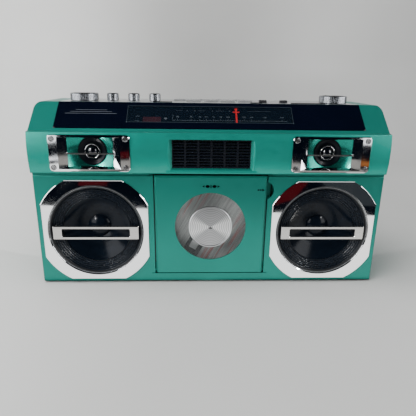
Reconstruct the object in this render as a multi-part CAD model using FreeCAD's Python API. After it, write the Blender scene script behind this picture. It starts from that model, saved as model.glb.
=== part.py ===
import FreeCAD, Part
import math
import os

from FreeCAD import Vector

# Retro stereo boombox with an AM/FM tuner and a disc player behind a drop-down front door.
# Millimetres.  X points to the listener's right, Y to the back, Z up.  While it is drawn, y = 0 is the
# plane of the lower front face and z = 0 is the underside of the feet.  Every part is moved along Y when
# it is written, so that the origin is the middle of the footprint's bounding box.

# ---- driving dimensions -------------------------------------------------------------------------------
WIDTH = 440.0
BODY_DEPTH = 133.0
DECK_Z = 232.5
FOOT_H = 2.0
WALL = 3.0
SPLIT_Y = 75.0
END_RADIUS = 8.0
HANDLE_BACK = 14.5

LOWER_TOP = 146.3
BAND_BOTTOM = 150.1
BAND_TOP = 200.0
BAND_Y = -4.0
BAND_BULGE = 3.0
GROOVE_Y = 1.5
SLOPE_FOOT = (2.5, 200.8)
DECK_FRONT_Y = 39.1
LEDGE_Y = 123.5
LEDGE_Z = 223.0
FOOT_R = 7.0
FOOT_X = 190.0
FOOT_Y = (16.0, 117.0)

SPEAKER_X = 146.5
WOOFER_Z = 73.5
WOOFER_R = 60.0
BASKET_R = 67.5
BASKET_Y = (4.6, 6.2, 36.0, 38.0)
MAGNET_R = 32.0
MAGNET_Y = (38.0, 52.0, 56.0)
COIL_R = (10.0, 11.0)
DUST_CAP_R = 14.5
BEZEL_R = 76.0
BEZEL_HALF = 67.2
BEZEL_T = 2.0
BAR_SIZE = (108.4, 17.6)
BAR_SLOT = (86.0, 10.4)

GASKET_R = (56.6, 60.8)
SURROUND_R = (43.4, 56.6)
SURROUND_PLEATS = 5

TWEETER_Z = 175.3
TWEETER_SIZE = (96.4, 44.0)
TWEETER_FACE_Y = -8.6
TWEETER_SEAT_Y = -4.2
TWEETER_THROAT_Y = -1.3
TWEETER_BACK_Y = 12.0
TWEETER_SCREWS = (43.0, 17.2)
HORN_MOUTH = 37.0
HORN_THROAT = 27.4
HORN_HEIGHT = (38.4, 35.0)
HORN_BODY = (37.6, 18.7)
DISH_RADIUS = 46.7
DISH_CENTRE_Y = -33.84
DRIVER_R = 17.3

GRILLE_HALF = 48.4
GRILLE_Z = (156.5, 191.6)
GRILLE_SURROUND = (53.4, 153.3, 192.4)
GRILLE_SLOTS = (6, 9)

DOOR_HALF = 70.7
DOOR_Z = (15.9, 147.2)
DOOR_Y = (-3.0, 2.4)
DOOR_GAP = 1.6
DOOR_CLEAR = (1.8, 1.0)
FINGER_RECESS = (68.0, 128.0, 12.0)
DOOR_HINGE = (2.0, 18.4)
CD_Z = 80.0
CD_WINDOW_R = 45.5
CD_CAP_R = 28.2
WELL_FLOOR_Y = 22.0
WELL_HALF = 69.0
WELL_Z = (18.6, 143.6)
WELL_RIM_Y = (3.2, 4.8)
TRAY_WALL = 1.8
SLED_ANGLE = 60.0
SLED_TRAVEL = 28.0
SLED_Z = (-30.0, -18.5)
SLED_TONGUE = (5.2, -47.0)
SLED_SLOT_HALF = 11.2
RAIL_X = 10.0

PANEL_HALF = 191.0
PANEL_S = (4.0, 48.3)
PANEL_N = (-1.8, 0.6)
WINDOW_X = (-103.5, 101.5)
WINDOW_S = (14.8, 41.4)
POINTER_X = 32.0

DECK_HALF = 191.0
DECK_Y = (42.0, 121.0)
DECK_T = 1.6
DECK_HOLE_HALF = 187.0
KNOB_Y = 65.0
KNOB_BIG = (165.0, 18.0, 10.0)
KNOB_SMALL_X = (-128.0, -100.5, -73.0)
KNOB_SMALL_R = 7.5
SHAFT_R = 3.0
SHAFT_FIT = 0.05
BUTTON_TRAVEL = 1.2
REAR_ROW = (-38.0, 26.0, 92.0, 13.0)
FRONT_ROW = (-21.9, 22.8, 70.0, 11.0)
SWITCH_X = (70.0, 97.5)
SWITCH_Y = 62.0

HANDLE_PIVOT = (141.0, 207.0)
HANDLE_REACH = 85.0
HANDLE_ARM_X = (184.4, 195.0)
HANDLE_LUG_X = (175.0, 184.0)
HANDLE_PIN_R = 2.5
HANDLE_R = 6.0

ANTENNA_X = 205.0
ANTENNA_Y = 128.0
ANTENNA_Z = 227.7
ANTENNA_TUBE = 262.0
ANTENNA_PIN_X = 194.0
ANTENNA_R = (2.05, 2.8)
ANTENNA_STUD_R = 1.5

BAY_HALF = 103.0
BAY_Z = (8.0, 64.0)
BAY_Y = 102.0
BAY_WALL = 2.4
INLET_X = 182.0
INLET_Z = 84.0
JACK_X = -165.0
JACK_Z = 84.0
JACK_BORE_R = 1.8
JACK_PITCH = 14.0
SOCKET_HALF = (13.0, 17.0, 8.0)
VENTS = (9, 133.0, 6.0, 168.0)
BACK_GROOVES = (7, 150.0, 8.0, 220.0)
LABEL_RECESS = (120.0, 34.0, 96.0)
CABINET_SCREWS = (
    (-208.0, 14.0),
    (208.0, 14.0),
    (-208.0, 100.0),
    (208.0, 100.0),
    (-60.0, 212.0),
    (60.0, 212.0),
)

BOARD_T = 1.6
CONTROL_BOARD_Z = 214.5
MAIN_BOARD_Y = 84.0
FERRITE = (60.0, 108.0, 206.0)
CAPACITORS = ((-70, 170, 8, 24), (-48, 170, 8, 24), (-20, 150, 5, 12), (-4, 150, 5, 12), (12, 170, 6, 16))

# ---- places worked out from them ----------------------------------------------------------------------
HALF = WIDTH / 2.0
HANDLE_Y_MAX = BODY_DEPTH + HANDLE_BACK
CENTRE_Y = (TWEETER_FACE_Y + HANDLE_Y_MAX) / 2.0
SLOPE_LEN = math.hypot(DECK_FRONT_Y - SLOPE_FOOT[0], DECK_Z - SLOPE_FOOT[1])
SLOPE_DIR = Vector(0, (DECK_FRONT_Y - SLOPE_FOOT[0]) / SLOPE_LEN, (DECK_Z - SLOPE_FOOT[1]) / SLOPE_LEN)
SLOPE_ANGLE = math.degrees(math.atan2(SLOPE_DIR.z, SLOPE_DIR.y))
X_AXIS = Vector(1, 0, 0)
Y_AXIS = Vector(0, 1, 0)
Z_AXIS = Vector(0, 0, 1)
SIDES = (("left", -1.0), ("right", 1.0))
KNOB_PLACES = (-KNOB_BIG[0], KNOB_BIG[0]) + KNOB_SMALL_X
BUTTONS = (
    "play_button",
    "stop_button",
    "skip_back_button",
    "skip_forward_button",
    "mode_button",
    "repeat_button",
    "folder_button",
    "memory_button",
)


# ---- drawing tools ------------------------------------------------------------------------------------
def box(x0, x1, y0, y1, z0, z1):
    return Part.makeBox(x1 - x0, y1 - y0, z1 - z0, Vector(x0, y0, z0))


def rod(radius, start, end):
    a = Vector(*start)
    way = Vector(*end) - a
    return Part.makeCylinder(radius, way.Length, a, way)


def ring(outer, inner, start, end):
    return rod(outer, start, end).cut(rod(inner, start, end))


def lathe_y(points, x, z):
    """Turn an outline of (radius, y) points about an axis along Y through x, z."""
    wire = Part.makePolygon([Vector(r, y, 0) for r, y in points + points[:1]])
    turned = Part.Face(wire).revolve(Vector(0, 0, 0), Y_AXIS, 360)
    return turned.translated(Vector(x, 0, z))


def lathe_z(points, x, y):
    """Turn an outline of (radius, z) points about an upright axis through x, y."""
    wire = Part.makePolygon([Vector(r, 0, z) for r, z in points + points[:1]])
    turned = Part.Face(wire).revolve(Vector(0, 0, 0), Z_AXIS, 360)
    return turned.translated(Vector(x, y, 0))


def prism_x(points, x0, x1):
    """Push an outline of (y, z) points from x0 to x1."""
    wire = Part.makePolygon([Vector(x0, y, z) for y, z in points + points[:1]])
    return Part.Face(wire).extrude(Vector(x1 - x0, 0, 0))


def fillet_along(shape, direction, radius, keep=lambda centre: True):
    """Round the straight edges that run along one axis and whose middle passes the test."""
    picked = []
    for edge in shape.Edges:
        way = edge.Vertexes[-1].Point - edge.Vertexes[0].Point
        along = abs(way.dot(direction))
        if along > 1e-3 and edge.Length - along < 1e-3 and keep(edge.CenterOfMass):
            picked.append(edge)
    return shape.makeFillet(radius, picked)


def chamfer_where(shape, size, keep):
    """Bevel the edges whose middle passes the test."""
    return shape.makeChamfer(size, [edge for edge in shape.Edges if keep(edge.CenterOfMass)])


def pad_y(x, z, width, height, radius, y0, y1):
    """A plate in the XZ plane with rounded corners."""
    plate = box(x - width / 2, x + width / 2, y0, y1, z - height / 2, z + height / 2)
    return fillet_along(plate, Y_AXIS, radius)


def pad_z(x, y, width, depth, radius, z0, z1):
    """A plate in the XY plane with rounded corners."""
    plate = box(x - width / 2, x + width / 2, y - depth / 2, y + depth / 2, z0, z1)
    return fillet_along(plate, Z_AXIS, radius)


def on_slope(shape):
    """Lay a shape drawn with (x, s, n) on the sloped dial face: s runs up it and n points out of it."""
    laid = shape.copy()
    laid.rotate(Vector(0, 0, 0), X_AXIS, SLOPE_ANGLE)
    laid.translate(Vector(0, SLOPE_FOOT[0], SLOPE_FOOT[1]))
    return laid


def mirrored(shape):
    return shape.mirror(Vector(0, 0, 0), X_AXIS)


def group(shapes):
    """Separate solids that share one node."""
    return Part.makeCompound(shapes)


def write(name, shape):
    moved = shape.translated(Vector(0, -CENTRE_Y, 0))
    moved.exportStep("parts/" + name + ".step")


# ---- cabinet ------------------------------------------------------------------------------------------
def side_profile(inset):
    """The side outline, pulled in by inset."""
    corners = [
        (0, FOOT_H),
        (0, LOWER_TOP),
        (GROOVE_Y, LOWER_TOP),
        (GROOVE_Y, BAND_BOTTOM),
        (BAND_Y, BAND_BOTTOM),
    ]
    back = [
        SLOPE_FOOT,
        (DECK_FRONT_Y, DECK_Z),
        (LEDGE_Y, DECK_Z),
        (LEDGE_Y, LEDGE_Z),
        (BODY_DEPTH, LEDGE_Z),
        (BODY_DEPTH, FOOT_H),
        (0, FOOT_H),
    ]
    mid = Vector(0, BAND_Y - BAND_BULGE, (BAND_BOTTOM + BAND_TOP) / 2)
    band_top = Vector(0, BAND_Y, BAND_TOP)
    front = Part.makePolygon([Vector(0, y, z) for y, z in corners])
    bulge = Part.Arc(Vector(0, BAND_Y, BAND_BOTTOM), mid, band_top).toShape()
    rear = Part.makePolygon([band_top] + [Vector(0, y, z) for y, z in back])
    face = Part.Face(Part.Wire(front.Edges + [bulge] + rear.Edges))
    if inset:
        face = face.makeOffset2D(-inset, 2)
    return face


def cabinet_block(inset):
    """The whole cabinet as one solid with rounded ends, pulled in by inset."""
    half = HALF - inset
    block = side_profile(inset).extrude(Vector(2 * half, 0, 0)).translated(Vector(-half, 0, 0))
    ends = box(-half, half, -20, BODY_DEPTH + 20, FOOT_H + inset, DECK_Z - inset)
    ends = fillet_along(ends, Y_AXIS, END_RADIUS - inset, lambda c: c.z > LEDGE_Z)
    return block.common(ends)


def cabinet_outside():
    """The outside with the band's two long edges and the body's front edges softened."""
    block = cabinet_block(0)
    block = fillet_along(block, X_AXIS, 1.6, lambda c: abs(c.z - BAND_TOP) < 0.5 and c.y < 0)
    block = fillet_along(block, X_AXIS, 1.2, lambda c: abs(c.z - BAND_BOTTOM) < 0.5 and c.y < 0)
    block = fillet_along(block, X_AXIS, 0.8, lambda c: abs(c.z - LOWER_TOP) < 0.5 and c.y < 0.5)
    block = fillet_along(block, Z_AXIS, 1.5, lambda c: c.y < 0.5 and c.z < LOWER_TOP)
    return fillet_along(block, X_AXIS, 1.5, lambda c: abs(c.z - FOOT_H) < 0.5 and c.y < 0.5)


def grille_funnel():
    """The bevelled mouth that leads down to the centre grille."""
    half, low, high = GRILLE_SURROUND
    mouth = [(-half, low), (half, low), (half, high), (-half, high)]
    throat = [
        (-GRILLE_HALF, GRILLE_Z[0]),
        (GRILLE_HALF, GRILLE_Z[0]),
        (GRILLE_HALF, GRILLE_Z[1]),
        (-GRILLE_HALF, GRILLE_Z[1]),
    ]
    outlines = []
    for points, y in ((mouth, BAND_Y - BAND_BULGE - 0.2), (throat, -1.0)):
        outlines.append(Part.makePolygon([Vector(x, y, z) for x, z in points + points[:1]]))
    return Part.makeLoft(outlines, True, True)


def screw_corners():
    """Offsets of the four screws of a tweeter frame from its centre."""
    dx, dz = TWEETER_SCREWS
    return [(-dx, -dz), (-dx, dz), (dx, -dz), (dx, dz)]


def front_openings():
    """Everything cut through the front cabinet."""
    cuts = []
    for _, side in SIDES:
        x = side * SPEAKER_X
        cuts.append(rod(WOOFER_R + 1.0, (x, -5, WOOFER_Z), (x, 10, WOOFER_Z)))
        cuts.append(box(x - 38, x + 38, -12, 10, TWEETER_Z - 19, TWEETER_Z + 19))
        width, height = TWEETER_SIZE
        cuts.append(pad_y(x, TWEETER_Z, width + 0.4, height + 0.4, 4.7, -12, TWEETER_SEAT_Y))
        for dx, dz in screw_corners():
            place = (x + dx, TWEETER_Z + dz)
            cuts.append(rod(1.2, (place[0], -12, place[1]), (place[0], 8, place[1])))
    gap = DOOR_HALF + DOOR_GAP
    cuts.append(box(-gap, gap, -5, 10, DOOR_Z[0] - DOOR_CLEAR[0], DOOR_Z[1] + DOOR_CLEAR[1]))
    x, z, radius = FINGER_RECESS
    cuts.append(rod(radius, (x, -1, z), (x, 7.0, z)))
    cuts.append(grille_funnel())
    cuts.append(box(-GRILLE_HALF, GRILLE_HALF, -1.1, 6, GRILLE_Z[0], GRILLE_Z[1]))
    cuts.append(on_slope(box(-PANEL_HALF - 0.2, PANEL_HALF + 0.2, 3.8, 52, PANEL_N[0], 8)))
    cuts.append(on_slope(box(-DECK_HOLE_HALF, DECK_HOLE_HALF, 8, 44, -8, 2)))
    return cuts


def hinge_socket(side):
    """Block behind the front wall that takes one of the disc door's stub pins."""
    inner = DOOR_HALF + DOOR_GAP
    block = box(inner, inner + 6, 1, 8, 12, 25)
    block = block if side > 0 else mirrored(block)
    y, z = DOOR_HINGE
    return block, rod(1.26, (side * (inner - 1), y, z), (side * (inner + 5), y, z))


def front_cabinet():
    shell = cabinet_outside().cut(cabinet_block(WALL))
    shell = shell.common(box(-HALF, HALF, -20, SPLIT_Y, 0, DECK_Z + 5))
    shell = shell.fuse(box(-56, 56, -5, 3.2, 152.0, 196.0))
    shell = shell.fuse(box(72.0, 84, 2, 9, 112.0, 144.0))
    for _, side in SIDES:
        x = side * SPEAKER_X
        shell = shell.fuse(box(x - 51, x + 51, TWEETER_SEAT_Y, -1.0, 151.6, 198.8))
        block, hole = hinge_socket(side)
        shell = shell.fuse(block)
        shell = shell.cut(hole)
    for cut in front_openings() + deck_openings():
        shell = shell.cut(cut)
    return shell.removeSplitter()


def deck_openings():
    """The rebate for the deck plate and the hole under it."""
    half, (y0, y1) = DECK_HALF + 0.2, DECK_Y
    seat = box(-half, half, y0 - 0.2, y1 + 0.2, DECK_Z - DECK_T, DECK_Z + 5)
    hole = box(-DECK_HOLE_HALF, DECK_HOLE_HALF, y0 + 3, y1 - 3, DECK_Z - 10, DECK_Z + 5)
    return [seat, hole]


def handle_lug(side):
    """The ear on the back that one end of the handle turns on."""
    y, z = HANDLE_PIVOT
    x0, x1 = sorted((side * HANDLE_LUG_X[0], side * HANDLE_LUG_X[1]))
    ear = box(x0, x1, BODY_DEPTH - 1, y, z - HANDLE_R, z + HANDLE_R)
    ear = ear.fuse(rod(HANDLE_R, (x0, y, z), (x1, y, z)))
    return ear.cut(rod(HANDLE_PIN_R, (x0 - 1, y, z), (x1 + 1, y, z)))


def vent_slots():
    """Rows of upright slots through the back, behind each woofer."""
    slots = []
    count, first, pitch, z = VENTS
    for _, side in SIDES:
        for i in range(count):
            x = side * (first + pitch * i)
            slots.append(pad_y(x, z, 2.6, 26.0, 1.25, BODY_DEPTH - 6, BODY_DEPTH + 2))
    return slots


def back_grooves():
    """Shallow lines across the back between the handle's arms, and a blank label recess below them."""
    cuts = []
    count, first, pitch, width = BACK_GROOVES
    for i in range(count):
        cuts.append(pad_y(0, first + pitch * i, width, 2.4, 1.15, BODY_DEPTH - 0.9, BODY_DEPTH + 2))
    width, height, z = LABEL_RECESS
    cuts.append(pad_y(0, z, width, height, 3.0, BODY_DEPTH - 0.6, BODY_DEPTH + 2))
    return cuts


def rear_cabinet():
    shell = cabinet_outside().cut(cabinet_block(WALL))
    shell = shell.common(box(-HALF, HALF, SPLIT_Y, BODY_DEPTH + 5, 0, DECK_Z + 5))
    for _, side in SIDES:
        shell = shell.fuse(handle_lug(side))
    for cut in deck_openings() + vent_slots() + back_grooves() + back_openings():
        shell = shell.cut(cut)
    return shell.removeSplitter()


def back_openings():
    """Holes in the back for the battery bay, the two sockets, the screws and the antenna's stud."""
    y0, y1 = BODY_DEPTH - 6, BODY_DEPTH + 2
    low, high = BAY_Z
    inlet, jack, half_z = SOCKET_HALF
    cuts = [
        box(-BAY_HALF - 4, BAY_HALF + 4, BODY_DEPTH - 1.8, y1, low - 3, high + 4),
        box(-BAY_HALF, BAY_HALF, y0, y1, low, high),
        box(INLET_X - inlet, INLET_X + inlet, y0, y1, INLET_Z - half_z, INLET_Z + half_z),
        box(JACK_X - jack, JACK_X + jack, y0, y1, JACK_Z - half_z, JACK_Z + half_z),
        rod(ANTENNA_STUD_R, (ANTENNA_X, LEDGE_Y - 5, ANTENNA_Z), (ANTENNA_X, LEDGE_Y + 2, ANTENNA_Z)),
    ]
    for x, z in CABINET_SCREWS:
        cuts.append(rod(3.2, (x, BODY_DEPTH - 1.6, z), (x, y1, z)))
        cuts.append(rod(1.6, (x, y0, z), (x, y1, z)))
    return cuts


def feet():
    """Four rubber pads under the corners."""
    pads = []
    for x in (-FOOT_X, FOOT_X):
        for y in FOOT_Y:
            pads.append(rod(FOOT_R, (x, y, 0), (x, y, FOOT_H)))
    return group(pads)


# ---- back panel fittings ------------------------------------------------------------------------------
def mains_inlet():
    """Two-pin figure-eight appliance inlet."""
    half_x, _, half_z = SOCKET_HALF
    body = pad_y(INLET_X, INLET_Z, 2 * half_x, 2 * half_z, 2.0, BODY_DEPTH - 18, BODY_DEPTH + 0.6)
    body = body.cut(pad_y(INLET_X, INLET_Z, 16.4, 8.6, 4.2, BODY_DEPTH - 14, BODY_DEPTH + 2))
    for side in (-1, 1):
        x = INLET_X + side * 4.3
        body = body.fuse(rod(1.2, (x, BODY_DEPTH - 14.5, INLET_Z), (x, BODY_DEPTH - 3, INLET_Z)))
    return body


def audio_jacks():
    """Headphone and line-in sockets for a 3.5 mm plug, in one small plate."""
    _, half_x, half_z = SOCKET_HALF
    plate = pad_y(JACK_X, JACK_Z, 2 * half_x, 2 * half_z, 2.0, BODY_DEPTH - 15, BODY_DEPTH + 0.6)
    for side in (-1, 1):
        x = JACK_X + side * JACK_PITCH / 2
        plate = plate.cut(rod(JACK_BORE_R, (x, BODY_DEPTH - 13, JACK_Z), (x, BODY_DEPTH + 2, JACK_Z)))
    return plate


def battery_bay():
    """Open-backed box for two rows of C cells."""
    y1 = BODY_DEPTH - WALL
    half = BAY_HALF + BAY_WALL
    outer = box(-half, half, BAY_Y - BAY_WALL, y1, BAY_Z[0] - BAY_WALL, BAY_Z[1] + BAY_WALL)
    return outer.cut(box(-BAY_HALF, BAY_HALF, BAY_Y, y1 + 2, BAY_Z[0], BAY_Z[1]))


def battery_door():
    """Lift-off cover with a thumb latch and grip ribs."""
    y0, y1 = BODY_DEPTH - 1.8, BODY_DEPTH - 0.2
    low, high = BAY_Z[0] - 2.7, BAY_Z[1] + 3.7
    plate = box(-BAY_HALF - 3.7, BAY_HALF + 3.7, y0, y1, low, high)
    rim = box(-BAY_HALF + 0.5, BAY_HALF - 0.5, y0 - 2.4, y0, BAY_Z[0] + 0.5, BAY_Z[1] - 0.5)
    core = box(-BAY_HALF + 2, BAY_HALF - 2, y0 - 3, y0, BAY_Z[0] + 2, BAY_Z[1] - 2)
    door = fillet_along(plate, Y_AXIS, 2.0).fuse(rim.cut(core))
    for x in (-60.0, 60.0):
        for i in range(5):
            z = high - 7.0 - 2.4 * i
            door = door.fuse(box(x - 11, x + 11, y1 - 0.5, y1 + 0.7, z - 0.6, z + 0.6))
    return door.removeSplitter()


def screws():
    """Cross-head screws: four on each tweeter frame and six in the back."""
    heads = []
    for _, side in SIDES:
        for dx, dz in screw_corners():
            x, z = side * SPEAKER_X + dx, TWEETER_Z + dz
            y = TWEETER_FACE_Y + 0.8
            head = rod(2.2, (x, y - 0.8, z), (x, y + 0.8, z)).fuse(rod(1.2, (x, y, z), (x, y + 9, z)))
            heads.append(cross_slot(head, x, z, y - 0.8, y - 0.2))
    for x, z in CABINET_SCREWS:
        y = BODY_DEPTH - 1.6
        head = rod(2.9, (x, y, z), (x, y + 1.4, z)).fuse(rod(1.5, (x, y, z), (x, y - 12, z)))
        heads.append(cross_slot(head, x, z, y + 0.8, y + 1.5))
    return group(heads)


def cross_slot(head, x, z, y0, y1):
    """Cut the driver cross into a screw head."""
    head = head.cut(box(x - 1.5, x + 1.5, y0, y1, z - 0.3, z + 0.3))
    return head.cut(box(x - 0.3, x + 0.3, y0, y1, z - 1.5, z + 1.5))


def hinge_pins():
    """The handle's two pivot pins and the stud that the antenna turns on."""
    y, z = HANDLE_PIVOT
    pins = []
    for _, side in SIDES:
        start, end = side * HANDLE_LUG_X[0], side * (HANDLE_ARM_X[1] + 0.6)
        shank = rod(HANDLE_PIN_R, (start, y, z), (end, y, z))
        head = rod(4.0, (end, y, z), (end + side * 1.4, y, z))
        pins.append(shank.fuse(head))
    x, y, z = ANTENNA_X, ANTENNA_Y + 4.8, ANTENNA_Z
    stud = rod(ANTENNA_STUD_R, (x, LEDGE_Y - WALL - 1, z), (x, y, z))
    cap = rod(3.0, (x, y, z), (x, y + 1.2, z))
    pins.append(stud.fuse(cap))
    return group(pins)


def carry_handle():
    """Folding handle: two flat arms and a round grip with thicker middle."""
    y, z = HANDLE_PIVOT
    z_low = z - HANDLE_REACH
    x0, x1 = HANDLE_ARM_X
    handle = rod(HANDLE_R, (-x1, y, z_low), (x1, y, z_low))
    handle = handle.fuse(rod(HANDLE_R + 0.5, (-70, y, z_low), (70, y, z_low)))
    for _, side in SIDES:
        a, b = sorted((side * x0, side * x1))
        arm = box(a, b, y - 4, y + 4, z_low, z).fuse(rod(HANDLE_R, (a, y, z), (b, y, z)))
        arm = arm.cut(rod(HANDLE_PIN_R + 0.05, (a - 1, y, z), (b + 1, y, z)))
        handle = handle.fuse(arm)
    return handle.removeSplitter()


# ---- antenna ------------------------------------------------------------------------------------------
def antenna_knuckle():
    """Barrel that turns on the stud, with a flat tongue for the rod's fork."""
    y, z = ANTENNA_Y, ANTENNA_Z
    z0, z1 = z - 1.2, z + 1.2
    barrel = rod(4.0, (ANTENNA_X, LEDGE_Y + 0.5, z), (ANTENNA_X, y + 4.6, z))
    tongue = box(ANTENNA_PIN_X, ANTENNA_X - 1, y - 2.5, y + 2.5, z0, z1)
    tongue = tongue.fuse(rod(2.5, (ANTENNA_PIN_X, y, z0), (ANTENNA_PIN_X, y, z1)))
    bore = rod(ANTENNA_STUD_R + 0.05, (ANTENNA_X, LEDGE_Y, z), (ANTENNA_X, y + 5, z))
    pin_hole = rod(0.95, (ANTENNA_PIN_X, y, z0 - 1), (ANTENNA_PIN_X, y, z1 + 1))
    return barrel.fuse(tongue).cut(bore).cut(pin_hole)


def antenna_tube():
    """Outer section: fork, cross pin and a long tube that holds the thinner section."""
    y, z = ANTENNA_Y, ANTENNA_Z
    inner, outer = ANTENNA_R
    fork_x = ANTENNA_PIN_X + 3.0
    tube_x = ANTENNA_PIN_X - 7.0
    fork = rod(3.2, (tube_x - 4, y, z), (fork_x, y, z))
    slot = box(tube_x + 2, fork_x + 1, y - 5, y + 5, z - 1.35, z + 1.35)
    pin = rod(0.9, (ANTENNA_PIN_X, y, z - 2.6), (ANTENNA_PIN_X, y, z + 2.6))
    tube = rod(outer, (tube_x - ANTENNA_TUBE, y, z), (tube_x, y, z))
    bore = rod(inner + 0.05, (tube_x - ANTENNA_TUBE - 1, y, z), (tube_x - 2, y, z))
    return fork.cut(slot).fuse(pin).fuse(tube).cut(bore).removeSplitter()


def antenna_rod():
    """Inner sections, pulled out of the tube by the ball on the end."""
    y, z = ANTENNA_Y, ANTENNA_Z
    start = ANTENNA_PIN_X - 7.0 - ANTENNA_TUBE
    inner = rod(ANTENNA_R[0], (start, y, z), (start + ANTENNA_TUBE - 4, y, z))
    neck = rod(ANTENNA_R[0], (start - 0.4, y, z), (start + 1, y, z))
    tip = rod(3.4, (start - 7, y, z), (start - 0.3, y, z))
    tip = tip.makeFillet(1.5, tip.Edges)
    return inner.fuse(neck).fuse(tip).removeSplitter()


# ---- woofers ------------------------------------------------------------------------------------------
def both_sides(maker):
    return group([maker(side * SPEAKER_X) for _, side in SIDES])


def woofer_bezel(x):
    """Chrome plate: a disc with four flats, a round mouth and softened edges."""
    disc = rod(BEZEL_R, (x, -BEZEL_T, WOOFER_Z), (x, 0, WOOFER_Z))
    square = pad_y(x, WOOFER_Z, 2 * BEZEL_HALF, 2 * BEZEL_HALF, 1.0, -BEZEL_T, 0)
    plate = disc.common(square)
    plate = chamfer_where(plate, 0.6, lambda c: c.y < -BEZEL_T + 0.01)
    mouth = [(0, -3), (WOOFER_R + 2, -3), (WOOFER_R, -1), (WOOFER_R, 1), (0, 1)]
    return plate.cut(lathe_y(mouth, x, WOOFER_Z))


def woofer_bar(x):
    """Chrome bar with a long slot, on two posts that stand on the gasket."""
    width, height = BAR_SIZE
    z = WOOFER_Z - 1.5
    bar = pad_y(x, z, width, height, 1.0, -4.2, -2.0)
    bar = bar.cut(pad_y(x, z, BAR_SLOT[0], BAR_SLOT[1], 1.4, -5, 0))
    bar = chamfer_where(bar, 0.5, lambda c: c.y < -4.19)
    for dx in (-width / 2 + 1.4, width / 2 - 1.4):
        bar = bar.fuse(rod(1.2, (x + dx, -2.6, z), (x + dx, 0.6, z)))
    return bar.removeSplitter()


def woofer_gasket(x):
    """Black ring between the mouth and the surround."""
    inner, outer = GASKET_R
    outline = [
        (inner, 1.2),
        (inner + 0.9, -0.9),
        (outer - 1.4, -0.9),
        (outer - 0.9, 0.0),
        (outer, 0.0),
        (outer, 3.4),
        (inner, 3.4),
    ]
    return lathe_y(outline, x, WOOFER_Z)


def woofer_surround(x):
    """Pleated edge round the cone, clamped between gasket and basket."""
    inner, outer = SURROUND_R
    samples = 8 * SURROUND_PLEATS
    front = []
    for i in range(samples + 1):
        u = i / samples
        wave = 0.75 * math.cos(2 * math.pi * SURROUND_PLEATS * u)
        front.append(Vector(outer - (outer - inner) * u, 2.65 + 2.6 * u * u - wave, 0))
    back = [point + Vector(0, 0.9, 0) for point in front]
    curves = []
    for points in (front, back):
        curve = Part.BSplineCurve()
        curve.interpolate(points)
        curves.append(curve.toShape())
    ends = [Part.makeLine(front[0], back[0]), Part.makeLine(front[-1], back[-1])]
    section = Part.Face(Part.Wire([curves[0], ends[1], curves[1], ends[0]]))
    pleats = section.revolve(Vector(0, 0, 0), Y_AXIS, 360).translated(Vector(x, 0, WOOFER_Z))
    clamp = ring(outer + 2.0, outer - 0.8, (x, 3.4, WOOFER_Z), (x, BASKET_Y[0], WOOFER_Z))
    return pleats.fuse(clamp).cut(woofer_gasket(x)).cut(woofer_basket(x)).removeSplitter()


def woofer_basket(x):
    """Pressed frame: rim behind the front wall, six ribs and a back plate."""
    front, rim_back, plate_front, plate_back = BASKET_Y
    rim = ring(BASKET_R, 53.0, (x, front, WOOFER_Z), (x, rim_back, WOOFER_Z))
    outline = [
        (53.0, rim_back),
        (56.0, rim_back),
        (33.0, plate_back),
        (12.0, plate_back),
        (12.0, plate_front),
        (31.0, plate_front),
    ]
    shell = lathe_y(outline, x, WOOFER_Z)
    for i in range(6):
        window = box(32, 60, 10, 33, -9, 9)
        window.rotate(Vector(0, 0, 0), Y_AXIS, 60.0 * i + 30.0)
        shell = shell.cut(window.translated(Vector(x, 0, WOOFER_Z)))
    spacer = ring(BASKET_R, 62.0, (x, WALL, WOOFER_Z), (x, front, WOOFER_Z))
    return rim.fuse(shell).fuse(spacer).removeSplitter()


def woofer_magnet(x):
    """Ferrite ring with its front and back plates and the pole."""
    front, back, end = MAGNET_Y
    ferrite = ring(MAGNET_R, 12.0, (x, front, WOOFER_Z), (x, back, WOOFER_Z))
    plate = rod(MAGNET_R - 2.0, (x, back, WOOFER_Z), (x, end, WOOFER_Z))
    pole = rod(8.0, (x, front - 4.0, WOOFER_Z), (x, back, WOOFER_Z))
    return ferrite.fuse(plate).fuse(pole).removeSplitter()


def woofer_cone(x):
    """Paper cone, domed cap and voice coil, which move together."""
    coil_in, coil_out = COIL_R
    rim = SURROUND_R[0] - 0.4
    outline = [
        (rim, 5.4),
        (rim, 6.4),
        (30.0, 14.0),
        (coil_out, 26.0),
        (coil_out, 45.0),
        (coil_in, 45.0),
        (coil_in, 24.6),
        (DUST_CAP_R, 21.6),
        (DUST_CAP_R, 20.8),
        (30.0, 12.6),
    ]
    shell = lathe_y(outline, x, WOOFER_Z)
    centre = Vector(x, 37.0, WOOFER_Z)
    dome = Part.makeSphere(22.0, centre).cut(Part.makeSphere(21.2, centre))
    cap = dome.common(rod(DUST_CAP_R, (x, 10.0, WOOFER_Z), (x, 21.4, WOOFER_Z)))
    return shell.fuse(cap).removeSplitter()


# ---- tweeters -----------------------------------------------------------------------------------------
def horn_space(x):
    """The air inside the four flared walls of a tweeter frame."""
    mouth = (HORN_MOUTH, HORN_HEIGHT[0] / 2, TWEETER_FACE_Y)
    throat = (HORN_THROAT, HORN_HEIGHT[1] / 2, TWEETER_THROAT_Y)
    outlines = []
    for half_w, half_h, y in (mouth, throat):
        corners = [(-half_w, -half_h), (half_w, -half_h), (half_w, half_h), (-half_w, half_h)]
        points = [Vector(x + dx, y, TWEETER_Z + dz) for dx, dz in corners]
        outlines.append(Part.makePolygon(points + points[:1]))
    return Part.makeLoft(outlines, True, True)


def horn_block(x, y0, y1):
    """The rectangular space behind a tweeter frame's flange."""
    half_w, half_h = HORN_BODY
    return box(x - half_w, x + half_w, y0, y1, TWEETER_Z - half_h, TWEETER_Z + half_h)


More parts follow.
